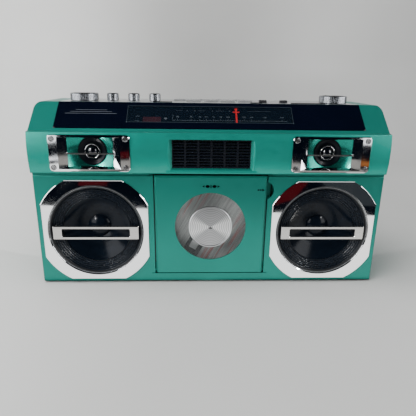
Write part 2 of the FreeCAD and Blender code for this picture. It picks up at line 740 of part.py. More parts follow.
def tweeter_frame(x):
    """Chrome horn frame with flared side walls and a countersunk screw seat in each corner."""
    width, height = TWEETER_SIZE
    face = pad_y(x, TWEETER_Z, width, height, 4.5, TWEETER_FACE_Y, TWEETER_SEAT_Y)
    face = chamfer_where(face, 0.7, lambda c: c.y < TWEETER_FACE_Y + 0.01)
    frame = face.fuse(horn_block(x, TWEETER_SEAT_Y, TWEETER_THROAT_Y)).cut(horn_space(x))
    for dx, dz in screw_corners():
        start = Vector(x + dx, TWEETER_FACE_Y, TWEETER_Z + dz)
        frame = frame.cut(Part.makeCone(3.5, 2.4, 1.7, start, Y_AXIS))
        frame = frame.cut(Part.makeCylinder(1.3, 5, start, Y_AXIS))
    return frame.removeSplitter()


def tweeter_dish(x):
    """Painted dish behind the frame, which holds the driver."""
    y0 = TWEETER_BACK_Y
    dish = horn_block(x, TWEETER_THROAT_Y, y0 + 2.0)
    dish = dish.cut(Part.makeSphere(DISH_RADIUS, Vector(x, DISH_CENTRE_Y, TWEETER_Z)))
    seat = rod(DRIVER_R + 0.1, (x, TWEETER_THROAT_Y - 1, TWEETER_Z), (x, y0, TWEETER_Z))
    return dish.cut(seat).cut(rod(16.2, (x, y0 - 1, TWEETER_Z), (x, y0 + 3, TWEETER_Z)))


def tweeter_driver(x):
    """Black driver: dished front ring, a lip round the dome, body and magnet."""
    y0 = TWEETER_BACK_Y
    outline = [
        (7.9, y0 - 3.2),
        (9.4, y0 - 3.2),
        (9.8, y0 - 0.8),
        (12.0, y0 - 1.0),
        (DRIVER_R - 1.1, y0 - 3.4),
        (DRIVER_R, y0 - 3.4),
        (DRIVER_R, y0),
        (16.0, y0),
        (16.0, y0 + 18),
        (0, y0 + 18),
        (0, y0 + 2.0),
        (7.9, y0 + 2.0),
    ]
    return lathe_y(outline, x, TWEETER_Z)


def tweeter_dome(x):
    """Polished dome inside the driver's lip."""
    y0 = TWEETER_BACK_Y
    ball = Part.makeSphere(8.2, Vector(x, y0 + 1.4, TWEETER_Z))
    return ball.common(rod(7.8, (x, y0 - 9, TWEETER_Z), (x, y0 + 2.0, TWEETER_Z)))


def tweeter_rod(x):
    """Thin bar across the horn, from wall to wall."""
    y, z = TWEETER_THROAT_Y - 1.1, TWEETER_Z - 1.4
    return rod(0.9, (x - HORN_MOUTH, y, z), (x + HORN_MOUTH, y, z)).common(horn_space(x))


# ---- centre grille ------------------------------------------------------------------------------------
def centre_grille():
    """Black louvred insert: columns of slots, each slot with a sloped lower lip."""
    z0, z1 = GRILLE_Z
    edge, divider = 1.1, 2.6
    plate = box(-GRILLE_HALF, GRILLE_HALF, -0.8, 3.2, z0, z1)
    columns, rows = GRILLE_SLOTS
    pitch_x = 2 * GRILLE_HALF / columns
    pitch_z = (z1 - z0 - 2 * edge) / rows
    slots = []
    for i in range(columns):
        x = -GRILLE_HALF + pitch_x * (i + 0.5)
        for j in range(rows):
            z = z0 + edge + pitch_z * (j + 0.5)
            lip = [(-1.5, z - 2.2), (-1.5, z + 1.2), (4.0, z + 1.2), (4.0, z - 0.4), (0.9, z - 0.4)]
            slots.append(prism_x(lip, x - (pitch_x - divider) / 2, x + (pitch_x - divider) / 2))
    return plate.cut(Part.makeCompound(slots))


# ---- disc player --------------------------------------------------------------------------------------
def cd_door():
    """Drop-down door with bevelled edges, a round window seat and two stub pins."""
    y0, y1 = DOOR_Y
    door = box(-DOOR_HALF, DOOR_HALF, y0, y1, DOOR_Z[0], DOOR_Z[1])
    front = y0 + 0.01
    door = chamfer_where(door, 2.4, lambda c: c.y < front and c.z > DOOR_Z[0] + 1)
    door = door.cut(rod(CD_WINDOW_R, (0, y0 - 1, CD_Z), (0, y1 + 1, CD_Z)))
    door = door.cut(rod(CD_WINDOW_R + 2.0, (0, y0 + 2.4, CD_Z), (0, y1 + 1, CD_Z)))
    y, z = DOOR_HINGE
    for _, side in SIDES:
        door = door.fuse(rod(1.2, (side * (DOOR_HALF - 1), y, z), (side * (DOOR_HALF + 4.5), y, z)))
    return door.removeSplitter()


def cd_window():
    """Clear ring set in the door."""
    y0, y1 = DOOR_Y
    pane = rod(CD_WINDOW_R + 1.9, (0, y0 + 2.4, CD_Z), (0, y1, CD_Z))
    pane = pane.fuse(rod(CD_WINDOW_R - 0.1, (0, y0 + 0.3, CD_Z), (0, y0 + 2.4, CD_Z)))
    return pane.cut(rod(CD_CAP_R - 3, (0, y0 - 1, CD_Z), (0, y1 + 1, CD_Z))).removeSplitter()


def cd_cap():
    """Spun metal cap with a raised rim, in the middle of the window."""
    y0 = DOOR_Y[0]
    r = CD_CAP_R
    outline = [
        (0, y0 - 0.2),
        (r - 2.6, y0 + 0.1),
        (r - 2.2, y0 - 1.0),
        (r - 0.7, y0 - 1.0),
        (r, y0 - 0.2),
        (r, y0 + 0.3),
        (r - 3.05, y0 + 0.3),
        (r - 3.05, DOOR_Y[1]),
        (0, DOOR_Y[1]),
    ]
    return lathe_y(outline, 0, CD_Z)


def along_sled(shape):
    """Turn a shape drawn along -Z under the spindle into the direction in which the sled runs."""
    laid = shape.copy()
    laid.rotate(Vector(0, 0, 0), Y_AXIS, 90.0 - SLED_ANGLE)
    return laid.translated(Vector(0, 0, CD_Z))


def cd_well():
    """Disc compartment: a tray behind the door with a round dish, a hub hole and the sled's slot."""
    half = WELL_HALF
    z0, z1 = WELL_Z
    rim_y0, rim_y1 = WELL_RIM_Y
    y1 = WELL_FLOOR_Y + 2.0
    tray = box(-half, half, rim_y0, y1, z0, z1)
    inside = half - TRAY_WALL
    tray = tray.cut(box(-inside, inside, rim_y0 - 1, WELL_FLOOR_Y, z0 + TRAY_WALL, z1 - TRAY_WALL))
    flange = box(-half - 6, half + 6, rim_y0, rim_y1, z0 + 10, z1 - 4)
    flange = flange.cut(box(-half, half, 2, 6, 0, 160)).cut(box(71, 86, 2, 10, 111, 145))
    tray = tray.fuse(flange)
    tray = tray.cut(rod(17.5, (0, WELL_FLOOR_Y - 1, CD_Z), (0, y1 + 1, CD_Z)))
    half = SLED_SLOT_HALF
    slot = box(-half, half, WELL_FLOOR_Y - 1, y1 + 1, SLED_Z[0] - SLED_TRAVEL - 0.4, -16.0)
    return tray.cut(along_sled(slot)).removeSplitter()


def cd_hub():
    """Spindle hub: turntable, centring boss and the motor's shaft."""
    y = WELL_FLOOR_Y
    outline = [
        (0, y - 5.0),
        (5.0, y - 5.0),
        (7.2, y - 3.4),
        (7.3, y - 1.6),
        (15.5, y - 1.6),
        (15.5, y + 0.6),
        (1.5, y + 0.6),
        (1.5, y + 9.0),
        (0, y + 9.0),
    ]
    return lathe_y(outline, 0, CD_Z)


def cd_mechanism():
    """Fixed works behind the tray: motor can and the two rails of the laser sled."""
    y = WELL_FLOOR_Y
    can = ring(12.0, 1.55, (0, y + 4.0, CD_Z), (0, y + 12.0, CD_Z))
    bracket = box(-16, 16, y + 9.4, y + 11.0, -62, 14)
    arms = [can, along_sled(bracket).cut(rod(11.0, (0, y, CD_Z), (0, y + 20, CD_Z)))]
    for x in (-RAIL_X, RAIL_X):
        post = box(x - 2, x + 2, y + 5.4, y + 9.4, -61.5, SLED_Z[0] - SLED_TRAVEL - 0.6)
        near = box(x - 2, x + 2, y + 5.4, y + 9.4, -15.2, -13.0)
        shaft = rod(1.2, (x, y + 7.2, -59.5), (x, y + 7.2, -14.0))
        arms.append(along_sled(post.fuse(near).fuse(shaft)))
    works = arms[0]
    for arm in arms[1:]:
        works = works.fuse(arm)
    return works.removeSplitter()


def cd_sled():
    """Laser carriage with its lens, on the rails, and the bright toothed tongue that moves it."""
    y = WELL_FLOOR_Y
    half, end = SLED_TONGUE
    block = box(-11.8, 11.8, y + 2.2, y + 9.0, SLED_Z[0], SLED_Z[1])
    block = block.cut(box(-4.6, 4.6, y, y + 3.0, -29.0, -19.5))
    lens = rod(3.0, (0, y + 3.0, -24.0), (0, y + 0.6, -24.0))
    tongue = box(-half, half, y + 2.2, y + 4.2, end, SLED_Z[0] + 1)
    for i in range(7):
        z = end + 2.0 + 2.0 * i
        tongue = tongue.cut(box(half - 1.2, half + 1, y + 2, y + 5, z, z + 1.0))
    block = block.fuse(lens).fuse(tongue)
    for x in (-RAIL_X, RAIL_X):
        block = block.cut(rod(1.26, (x, y + 7.2, -32.0), (x, y + 7.2, -16.0)))
    return along_sled(block).removeSplitter()


# ---- dial ---------------------------------------------------------------------------------------------
def dial_panel():
    """Long black fascia on the slope with the dial window cut in it."""
    s0, s1 = PANEL_S
    plate = box(-PANEL_HALF, PANEL_HALF, s0, s1, PANEL_N[0], PANEL_N[1])
    plate = fillet_along(plate, Z_AXIS, 3.0, lambda c: c.y < s0 + 1)
    plate = chamfer_where(plate, 0.4, lambda c: c.z > PANEL_N[1] - 0.01)
    window = box(WINDOW_X[0], WINDOW_X[1], WINDOW_S[0], WINDOW_S[1], PANEL_N[0] - 1, PANEL_N[1] + 1)
    return on_slope(plate.cut(window))


def dial_lens():
    """Clear strip that fills the dial window."""
    lens = box(WINDOW_X[0], WINDOW_X[1], WINDOW_S[0], WINDOW_S[1], PANEL_N[0], PANEL_N[1] - 0.1)
    return on_slope(lens)


def dial_scale():
    """Backing tray behind the window that carries the tuning scale."""
    x0, x1 = WINDOW_X[0] - 3, WINDOW_X[1] + 3
    back = box(x0, x1, 9.0, 43.6, -7.0, -5.6)
    tray = back
    for x in (x0, x1 - 2):
        tray = tray.fuse(box(x, x + 2, 9.0, 43.6, -5.6, PANEL_N[0]))
    seat = box(-86.0, -61.6, 15.6, 28.0, -5.6, -4.0)
    seat = seat.cut(box(-85.0, -62.6, 16.4, 27.2, -5.6, -3))
    return on_slope(tray.fuse(seat).removeSplitter())


def clock_display():
    """Four-digit display module in its seat on the scale."""
    return on_slope(box(-84.9, -62.7, 16.5, 27.1, -5.6, -3.6))


def dial_pointer():
    """Needle with a crossbar, on a small carriage that runs along the top of the scale."""
    x = POINTER_X
    needle = box(x - 1.0, x + 1.0, 18.6, 43.4, -4.2, -3.4)
    crossbar = box(x - 4.2, x + 4.2, 36.4, 37.5, -4.2, -3.4)
    carriage = box(x - 1.6, x + 1.6, 41.8, 43.4, -5.2, -2.6)
    return on_slope(needle.fuse(crossbar).fuse(carriage).removeSplitter())


# ---- deck controls ------------------------------------------------------------------------------------
def deck_plate():
    """Brushed plate with a hole for every control."""
    y0, y1 = DECK_Y
    z0 = DECK_Z - DECK_T
    plate = box(-DECK_HALF, DECK_HALF, y0, y1, z0, DECK_Z)
    for x in KNOB_PLACES:
        plate = plate.cut(rod(SHAFT_R + 0.5, (x, KNOB_Y, z0 - 1), (x, KNOB_Y, DECK_Z + 1)))
    for x, y, width, depth in button_places():
        half_w, half_d = width / 2, depth / 2
        plate = plate.cut(box(x - half_w, x + half_w, y - half_d, y + half_d, z0 - 1, DECK_Z + 1))
    for x in SWITCH_X:
        plate = plate.cut(pad_z(x, SWITCH_Y, 17.0, 3.2, 1.5, z0 - 1, DECK_Z + 1))
    return plate


def button_places():
    """Hole (x, y, width, depth) of each key: four at the back, four at the front."""
    places = []
    for first, pitch, y, depth in (REAR_ROW, FRONT_ROW):
        for i in range(4):
            places.append((first + pitch * i, y, pitch - 1.2, depth))
    return places


def button(place):
    """Key cap with softened edges and a plunger under it."""
    x, y, width, depth = place
    cap = pad_z(x, y, width - 0.7, depth - 0.7, 0.8, DECK_Z - 3.0, DECK_Z + 2.2)
    cap = chamfer_where(cap, 0.6, lambda c: c.z > DECK_Z + 2.19)
    return cap.fuse(rod(2.0, (x, y, DECK_Z - 11.0), (x, y, DECK_Z - 3.0)))


def knob(x, radius, height):
    """Turned knob with a dished top, a knurled skirt and its shaft."""
    z0, z1 = DECK_Z + 0.5, DECK_Z + height
    outline = [
        (0, z0 - 16.0),
        (SHAFT_R, z0 - 16.0),
        (SHAFT_R, z0),
        (radius - 0.6, z0),
        (radius, z0 + 0.6),
        (radius, z1 - 0.9),
        (radius - 0.9, z1),
        (radius * 0.82, z1),
        (radius * 0.76, z1 - 0.7),
        (0, z1 - 0.7),
    ]
    body = lathe_z(outline, x, KNOB_Y)
    teeth = int(radius * 3)
    grooves = []
    for i in range(teeth):
        angle = 2 * math.pi * i / teeth
        px, py = x + radius * math.cos(angle), KNOB_Y + radius * math.sin(angle)
        grooves.append(rod(0.45, (px, py, z0 + 1.2), (px, py, z1 - 1.6)))
    return body.cut(Part.makeCompound(grooves))


def slide_knob(x):
    """Black thumb piece of a slide switch with three grip ribs."""
    z1 = DECK_Z + 3.6
    cap = box(x - 4.85, x + 4.85, SWITCH_Y - 3.4, SWITCH_Y + 3.4, DECK_Z + 0.3, z1)
    cap = chamfer_where(cap, 0.7, lambda c: c.z > z1 - 0.01)
    for dx in (-2.2, 0, 2.2):
        cap = cap.cut(box(x + dx - 0.4, x + dx + 0.4, SWITCH_Y - 4, SWITCH_Y + 4, z1 - 0.5, z1 + 1))
    return cap.fuse(box(x - 2, x + 2, SWITCH_Y - 1.2, SWITCH_Y + 1.2, DECK_Z - 9.5, DECK_Z + 0.3))


def control_board():
    """Board under the deck with the potentiometers, key switches and slide switches."""
    z = CONTROL_BOARD_Z
    board = box(-180, 180, 50, 112, z - BOARD_T, z)
    for x in KNOB_PLACES:
        can = ring(8.5, SHAFT_R + SHAFT_FIT, (x, KNOB_Y, z), (x, KNOB_Y, z + 8.0))
        board = board.cut(rod(SHAFT_R + 1, (x, KNOB_Y, z - 5), (x, KNOB_Y, z + 1))).fuse(can)
    for x, y, _, _ in button_places():
        board = board.fuse(box(x - 3, x + 3, y - 3, y + 3, z, z + 5.0))
    for x in SWITCH_X:
        body = box(x - 10, x + 10, SWITCH_Y - 3.5, SWITCH_Y + 3.5, z, z + 10.0)
        board = board.fuse(body.cut(box(x - 9, x + 9, SWITCH_Y - 1.6, SWITCH_Y + 1.6, z + 7.0, z + 11)))
    return board.removeSplitter()


# ---- inside -------------------------------------------------------------------------------------------
def main_board():
    """Radio and amplifier board on edge behind the disc player, with its heat sink."""
    y = MAIN_BOARD_Y + BOARD_T
    board = box(-95, 95, MAIN_BOARD_Y, y, 76, 196)
    sink = box(40, 84, y, y + 3.4, 140, 190)
    for i in range(6):
        sink = sink.fuse(box(41 + 8 * i, 43 + 8 * i, y + 3.4, y + 15.4, 140, 190))
    parts = board.fuse(sink)
    for x, z, radius, height in CAPACITORS:
        parts = parts.fuse(rod(radius, (x, y, z), (x, y + height, z)))
    return parts.removeSplitter()


def transformer():
    """Mains transformer on the cabinet floor: laminated core and winding."""
    core = box(128, 180, 84, 112, FOOT_H + WALL, 48)
    core = core.cut(box(136, 145, 80, 120, 12, 41)).cut(box(163, 172, 80, 120, 12, 41))
    winding = box(137, 171, 79, 117, 13, 40).cut(box(145, 163, 84, 112, 12, 41))
    return group([core, winding])


def tuning_capacitor():
    """Variable capacitor under the deck on the tuning side."""
    can = box(150, 180, 76, 100, CONTROL_BOARD_Z - 20.0, CONTROL_BOARD_Z - BOARD_T)
    return can.fuse(rod(SHAFT_R, (KNOB_BIG[0], 88, 190), (KNOB_BIG[0], 88, 195)))


def ferrite_antenna():
    """Ferrite rod with two coils and its clips."""
    half, y, z = FERRITE
    bar = rod(5.0, (-half, y, z), (half, y, z))
    coils = [ring(6.4, 5.0, (x, y, z), (x + 18, y, z)) for x in (-50, 24)]
    clip = box(-6, 6, y - 7, y + 7, z - 10, z - 5)
    clip = clip.fuse(box(-4, 4, MAIN_BOARD_Y + BOARD_T, y - 5, z - 16, z - 10))
    return group([bar, clip] + coils)


# ---- build --------------------------------------------------------------------------------------------
def main():
    os.makedirs("parts", exist_ok=True)
    single = (
        front_cabinet, rear_cabinet, feet, mains_inlet, audio_jacks, battery_bay, battery_door, screws,
        hinge_pins, carry_handle, antenna_knuckle, antenna_tube, antenna_rod, centre_grille, cd_door,
        cd_window, cd_cap, cd_well, cd_hub, cd_mechanism, cd_sled, dial_panel, dial_lens, dial_scale,
        clock_display, dial_pointer, deck_plate, control_board, main_board, transformer,
        tuning_capacitor, ferrite_antenna,
    )
    for maker in single:
        write(maker.__name__, maker())
    paired = (
        ("woofer_bezels", woofer_bezel),
        ("woofer_bars", woofer_bar),
        ("woofer_gaskets", woofer_gasket),
        ("woofer_surrounds", woofer_surround),
        ("woofer_baskets", woofer_basket),
        ("woofer_magnets", woofer_magnet),
        ("tweeter_frames", tweeter_frame),
        ("tweeter_dishes", tweeter_dish),
        ("tweeter_drivers", tweeter_driver),
        ("tweeter_domes", tweeter_dome),
        ("tweeter_rods", tweeter_rod),
    )
    for name, maker in paired:
        write(name, both_sides(maker))
    for name, side in SIDES:
        write(name + "_woofer_cone", woofer_cone(side * SPEAKER_X))
    write("volume_knob", knob(-KNOB_BIG[0], KNOB_BIG[1], KNOB_BIG[2]))
    write("tuning_knob", knob(KNOB_BIG[0], KNOB_BIG[1], KNOB_BIG[2]))
    for name, x in zip(("bass_knob", "treble_knob", "balance_knob"), KNOB_SMALL_X):
        write(name, knob(x, KNOB_SMALL_R, KNOB_BIG[2]))
    for name, place in zip(BUTTONS, button_places()):
        write(name, button(place))
    for name, x in zip(("band_switch", "function_switch"), SWITCH_X):
        write(name, slide_knob(x))


main()
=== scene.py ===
import math

import bmesh
import bpy
from mathutils import Matrix, Vector


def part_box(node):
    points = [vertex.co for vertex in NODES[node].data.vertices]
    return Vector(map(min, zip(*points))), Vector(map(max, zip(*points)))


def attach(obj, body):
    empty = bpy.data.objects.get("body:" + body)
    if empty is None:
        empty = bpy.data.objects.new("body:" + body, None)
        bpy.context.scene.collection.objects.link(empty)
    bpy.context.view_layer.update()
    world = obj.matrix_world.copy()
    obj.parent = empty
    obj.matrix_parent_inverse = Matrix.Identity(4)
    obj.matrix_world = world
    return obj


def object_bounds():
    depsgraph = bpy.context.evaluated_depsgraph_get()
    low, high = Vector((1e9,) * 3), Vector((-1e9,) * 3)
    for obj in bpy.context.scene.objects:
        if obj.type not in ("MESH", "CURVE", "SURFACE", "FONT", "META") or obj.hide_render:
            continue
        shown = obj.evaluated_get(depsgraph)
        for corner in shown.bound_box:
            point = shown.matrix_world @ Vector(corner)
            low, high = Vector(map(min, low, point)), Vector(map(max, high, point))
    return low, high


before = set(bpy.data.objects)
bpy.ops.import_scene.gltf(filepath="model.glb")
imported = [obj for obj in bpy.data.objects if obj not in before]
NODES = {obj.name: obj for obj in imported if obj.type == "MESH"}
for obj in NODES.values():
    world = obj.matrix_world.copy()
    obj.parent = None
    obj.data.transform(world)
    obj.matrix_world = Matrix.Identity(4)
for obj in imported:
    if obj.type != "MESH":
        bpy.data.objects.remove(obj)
CAD_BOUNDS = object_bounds()

# Metres, in the row frame: X to the right, Y to the back, Z up.
MM = 0.001
RIGHT, BACK, UP = Vector((1, 0, 0)), Vector((0, 1, 0)), Vector((0, 0, 1))
# The camera: its place, three turns in radians, and its focal length and film width in millimetres.
CAMERA_AT = Vector((-0.02359, -0.56806, 0.2631))
CAMERA_YAW = -0.04069
CAMERA_PITCH = 0.3071
CAMERA_ROLL = -0.01451
CAMERA_LENS = 35.49
CAMERA_FILM = 36.0
# How thick a printed mark is, and how much paler the paint is made on the proud band of the front, as a
# painted sheen.
PRINT_T = 0.06 * MM
BAND_SHEEN = 1.5
KNOBS = ("volume_knob", "tuning_knob", "bass_knob", "treble_knob", "balance_knob")
KEYS = [node for node in NODES if node.endswith("_button")]


# ---- material tools -----------------------------------------------------------------------------------
class Shader:
    """A Principled material with short helpers for procedural detail in object coordinates."""

    def __init__(self, name, color, roughness, metallic=0.0, **extra):
        self.material = bpy.data.materials.new(name)
        self.material.use_nodes = True
        self.tree = self.material.node_tree
        self.bsdf = self.tree.nodes["Principled BSDF"]
        self.color = color
        self.set("Base Color", (*color, 1.0))
        self.set("Roughness", roughness)
        self.set("Metallic", metallic)
        for key, value in extra.items():
            self.set(key, value)
        self.coords = self.tree.nodes.new("ShaderNodeTexCoord").outputs["Object"]
        self.normal = None

    def set(self, socket, value):
        self.bsdf.inputs[socket].default_value = value

    def node(self, kind, **settings):
        made = self.tree.nodes.new(kind)
        for key, value in settings.items():
            setattr(made, key, value)
        return made

    def link(self, source, target):
        self.tree.links.new(source, target)

    def stretched(self, scale):
        """Coordinates multiplied by scale, for noise drawn out into lines."""
        mapping = self.node("ShaderNodeMapping")
        mapping.inputs["Scale"].default_value = scale
        self.link(self.coords, mapping.inputs["Vector"])
        return mapping.outputs["Vector"]

    def axes(self, vector=None):
        """The X, Y and Z outputs of a vector, or of the object coordinates."""
        parts = self.node("ShaderNodeSeparateXYZ")
        self.link(vector or self.coords, parts.inputs["Vector"])
        return parts.outputs

    def noise(self, scale, detail, vector=None, roughness=0.55):
        made = self.node("ShaderNodeTexNoise")
        made.inputs["Scale"].default_value = scale
        made.inputs["Detail"].default_value = detail
        made.inputs["Roughness"].default_value = roughness
        self.link(vector or self.coords, made.inputs["Vector"])
        return made.outputs["Fac"]

    def speckle(self, scale):
        made = self.node("ShaderNodeTexVoronoi")
        made.inputs["Scale"].default_value = scale
        self.link(self.coords, made.inputs["Vector"])
        return made.outputs["Color"]

    def remap(self, source, low, high, start=0.3, end=0.7):
        made = self.node("ShaderNodeMapRange")
        made.inputs["From Min"].default_value = start
        made.inputs["From Max"].default_value = end
        made.inputs["To Min"].default_value = low
        made.inputs["To Max"].default_value = high
        self.link(source, made.inputs["Value"])
        return made.outputs["Result"]

    def tint(self, source, low, high):
        """Base colour runs from low to high times the plain colour as source goes from 0 to 1."""
        ramp = self.node("ShaderNodeValToRGB")
        for element, factor in zip(ramp.color_ramp.elements, (low, high)):
            element.color = (*[min(1.0, c * factor) for c in self.color], 1.0)
        ramp.color_ramp.elements[0].position = 0.3
        ramp.color_ramp.elements[1].position = 0.7
        self.link(source, ramp.inputs["Fac"])
        self.link(ramp.outputs["Color"], self.bsdf.inputs["Base Color"])
        return self

    def rough(self, source, low, high):
        self.link(self.remap(source, low, high), self.bsdf.inputs["Roughness"])
        return self

    def bump(self, source, height, strength):
        made = self.node("ShaderNodeBump")
        made.inputs["Strength"].default_value = strength
        made.inputs["Distance"].default_value = height
        self.link(source, made.inputs["Height"])
        if self.normal:
            self.link(self.normal, made.inputs["Normal"])
        self.normal = made.outputs["Normal"]
        self.link(self.normal, self.bsdf.inputs["Normal"])
        return self

    def math(self, operation, first, second):
        made = self.node("ShaderNodeMath", operation=operation)
        for socket, source in zip(made.inputs, (first, second)):
            if isinstance(source, float):
                socket.default_value = source
            else:
                self.link(source, socket)
        return made.outputs[0]

    def ramp(self, source, low, high):
        """A colour between two as source goes from 0.32 to 0.66."""
        made = self.node("ShaderNodeValToRGB")
        made.color_ramp.elements[0].position = 0.32
        made.color_ramp.elements[0].color = (*low, 1.0)
        made.color_ramp.elements[1].position = 0.66
        made.color_ramp.elements[1].color = (*high, 1.0)
        self.link(source, made.inputs["Fac"])
        return made.outputs["Color"]

    def mix(self, factor, source, color):
        """Source where factor is 0, color where it is 1, by the node's sockets for colours."""
        made = self.node("ShaderNodeMix", data_type="RGBA")
        self.link(factor, made.inputs[0])
        self.link(source, made.inputs[6])
        made.inputs[7].default_value = color
        return made.outputs[2]

    def distance(self, centre, axis):
        """Distance from a line along one axis through centre."""
        shift = self.node("ShaderNodeVectorMath", operation="SUBTRACT")
        shift.inputs[1].default_value = centre
        self.link(self.coords, shift.inputs[0])
        flat = self.node("ShaderNodeVectorMath", operation="MULTIPLY")
        flat.inputs[1].default_value = [0.0 if i == axis else 1.0 for i in range(3)]
        self.link(shift.outputs[0], flat.inputs[0])
        length = self.node("ShaderNodeVectorMath", operation="LENGTH")
        self.link(flat.outputs[0], length.inputs[0])
        return length.outputs["Value"]

    def rings(self, centre, axis, pitch):
        """Concentric grooves of one pitch about an axis: a 0 to 1 wave of the distance from it."""
        turn = self.math("MULTIPLY", self.distance(centre, axis), 2 * math.pi / pitch)
        wave = self.math("SINE", turn, 0.0)
        return self.remap(wave, 0.0, 1.0, -1.0, 1.0)


def teal_paint(name, color, metallic, roughness):
    """Fine metallic paint, made paler on the band that stands proud of the front as a painted sheen."""
    s = Shader(name, color, roughness, metallic)
    tone = s.ramp(s.noise(14.0, 2.0), [0.95 * c for c in color], [1.05 * c for c in color])
    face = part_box("cd_door")[0].y
    # Painted sheen: the base colour is paler on what stands more than 1.6 mm in front of the door's face,
    # the band.
    band_sheen = s.remap(s.axes()["Y"], BAND_SHEEN, 1.0, face - 1.6 * MM, face - 0.4 * MM)
    paint = s.node("ShaderNodeVectorMath", operation="SCALE")
    s.link(tone, paint.inputs[0])
    s.link(band_sheen, paint.inputs["Scale"])
    s.link(paint.outputs["Vector"], s.bsdf.inputs["Base Color"])
    s.rough(s.noise(160.0, 4.0), roughness - 0.03, roughness + 0.05)
    s.bump(s.speckle(5200.0), 0.02 * MM, 0.25)
    return s.bump(s.noise(900.0, 2.0), 0.02 * MM, 0.3).material


def chrome():
    s = Shader("chrome_trim", (0.88, 0.89, 0.90), 0.045, 1.0)
    s.rough(s.noise(90.0, 5.0), 0.03, 0.075)
    return s.bump(s.noise(70.0, 1.0), 0.05 * MM, 0.12).material


def knob_chrome(name, centre):
    s = Shader(name, (0.25, 0.26, 0.275), 0.22, 1.0)
    s.rough(s.noise(700.0, 2.0), 0.18, 0.30)
    return s.bump(s.rings(centre, 2, 0.35 * MM), 0.02 * MM, 0.5).material


def spun_aluminium(centre):
    pitch = 2.3 * MM
    s = Shader("spun_aluminium", (0.56, 0.57, 0.575), 0.30, 1.0, Anisotropic=0.85)
    tangent = s.node("ShaderNodeTangent", direction_type="RADIAL", axis="Y")
    s.link(tangent.outputs["Tangent"], s.bsdf.inputs["Tangent"])
    # Painted highlight: the base colour is pale in a bow-tie to the left and right of the centre, and
    # dark above and below it.
    offset = s.node("ShaderNodeVectorMath", operation="SUBTRACT")
    offset.inputs[1].default_value = (centre.x, 0.0, centre.z)
    s.link(s.coords, offset.inputs[0])
    rise = s.axes(offset.outputs[0])["Z"]
    slope = s.math("ABSOLUTE", s.math("DIVIDE", rise, s.distance(centre, 1)), 0.0)
    bow_tie_highlight = s.ramp(slope, (0.84, 0.85, 0.855), (0.33, 0.335, 0.34))
    # Painted shade: the colour darkens in each groove.
    groove_shade = s.remap(s.rings(centre, 1, pitch), 0.0, 0.75, 0.45, 1.0)
    s.link(s.mix(groove_shade, bow_tie_highlight, (0.14, 0.145, 0.15, 1.0)), s.bsdf.inputs["Base Color"])
    s.bump(s.rings(centre, 1, pitch), 0.08 * MM, 0.6)
    return s.bump(s.noise(600.0, 2.0), 0.01 * MM, 0.3).material


def brushed(name, color, roughness, along, metallic=1.0):
    """Metal with fine lines along one axis."""
    s = Shader(name, color, roughness, metallic)
    lines = s.stretched([1.0 if i == along else 60.0 for i in range(3)])
    s.tint(s.noise(60.0, 4.0, lines), 0.90, 1.06)
    s.rough(s.noise(45.0, 3.0, lines), roughness - 0.06, roughness + 0.08)
    return s.bump(s.noise(70.0, 3.0, lines), 0.02 * MM, 0.4).material


def black_gloss():
    s = Shader("black_gloss", (0.0012, 0.0022, 0.0065), 0.05)
    s.tint(s.noise(40.0, 2.0), 0.9, 1.1)
    s.rough(s.noise(120.0, 4.0), 0.04, 0.08)
    return s.bump(s.noise(12.0, 1.0), 0.03 * MM, 0.05).material


def grained_plastic(name, color, roughness, grain=1400.0, depth=0.06):
    """Moulded plastic with a fine spark-eroded grain."""
    s = Shader(name, color, roughness)
    s.tint(s.noise(30.0, 3.0), 0.85, 1.15)
    s.rough(s.noise(250.0, 3.0), roughness - 0.06, roughness + 0.08)
    return s.bump(s.noise(grain, 2.0), depth * MM, 0.5).material


def acrylic(name, color, alpha):
    """Thin pane: partly see-through, so that light reaches what lies behind it."""
    s = Shader(name, color, 0.03, Alpha=alpha, IOR=1.45)
    return s.bump(s.noise(60.0, 1.0), 0.01 * MM, 0.05).material


def cone_paper():
    s = Shader("cone_paper", (0.003, 0.0055, 0.010), 0.15)
    s.set("Specular IOR Level", 0.10)
    s.tint(s.noise(90.0, 4.0), 0.75, 1.25)
    s.rough(s.noise(300.0, 3.0), 0.12, 0.22)
    return s.bump(s.noise(1100.0, 4.0), 0.008 * MM, 0.3).material


def treated_cloth():
    """Doped cloth of the pleated edge: glossy, with a coarse broken weave."""
    s = Shader("treated_cloth", (0.006, 0.009, 0.014), 0.24)
    s.set("Specular IOR Level", 0.26)
    s.tint(s.noise(420.0, 3.0), 0.5, 1.9)
    s.rough(s.noise(700.0, 3.0), 0.12, 0.32)
    return s.bump(s.noise(800.0, 3.0), 0.22 * MM, 0.8).material


def rubber():
    s = Shader("black_rubber", (0.008, 0.009, 0.011), 0.42)
    s.tint(s.noise(200.0, 3.0), 0.8, 1.3)
    return s.bump(s.noise(1500.0, 2.0), 0.04 * MM, 0.4).material


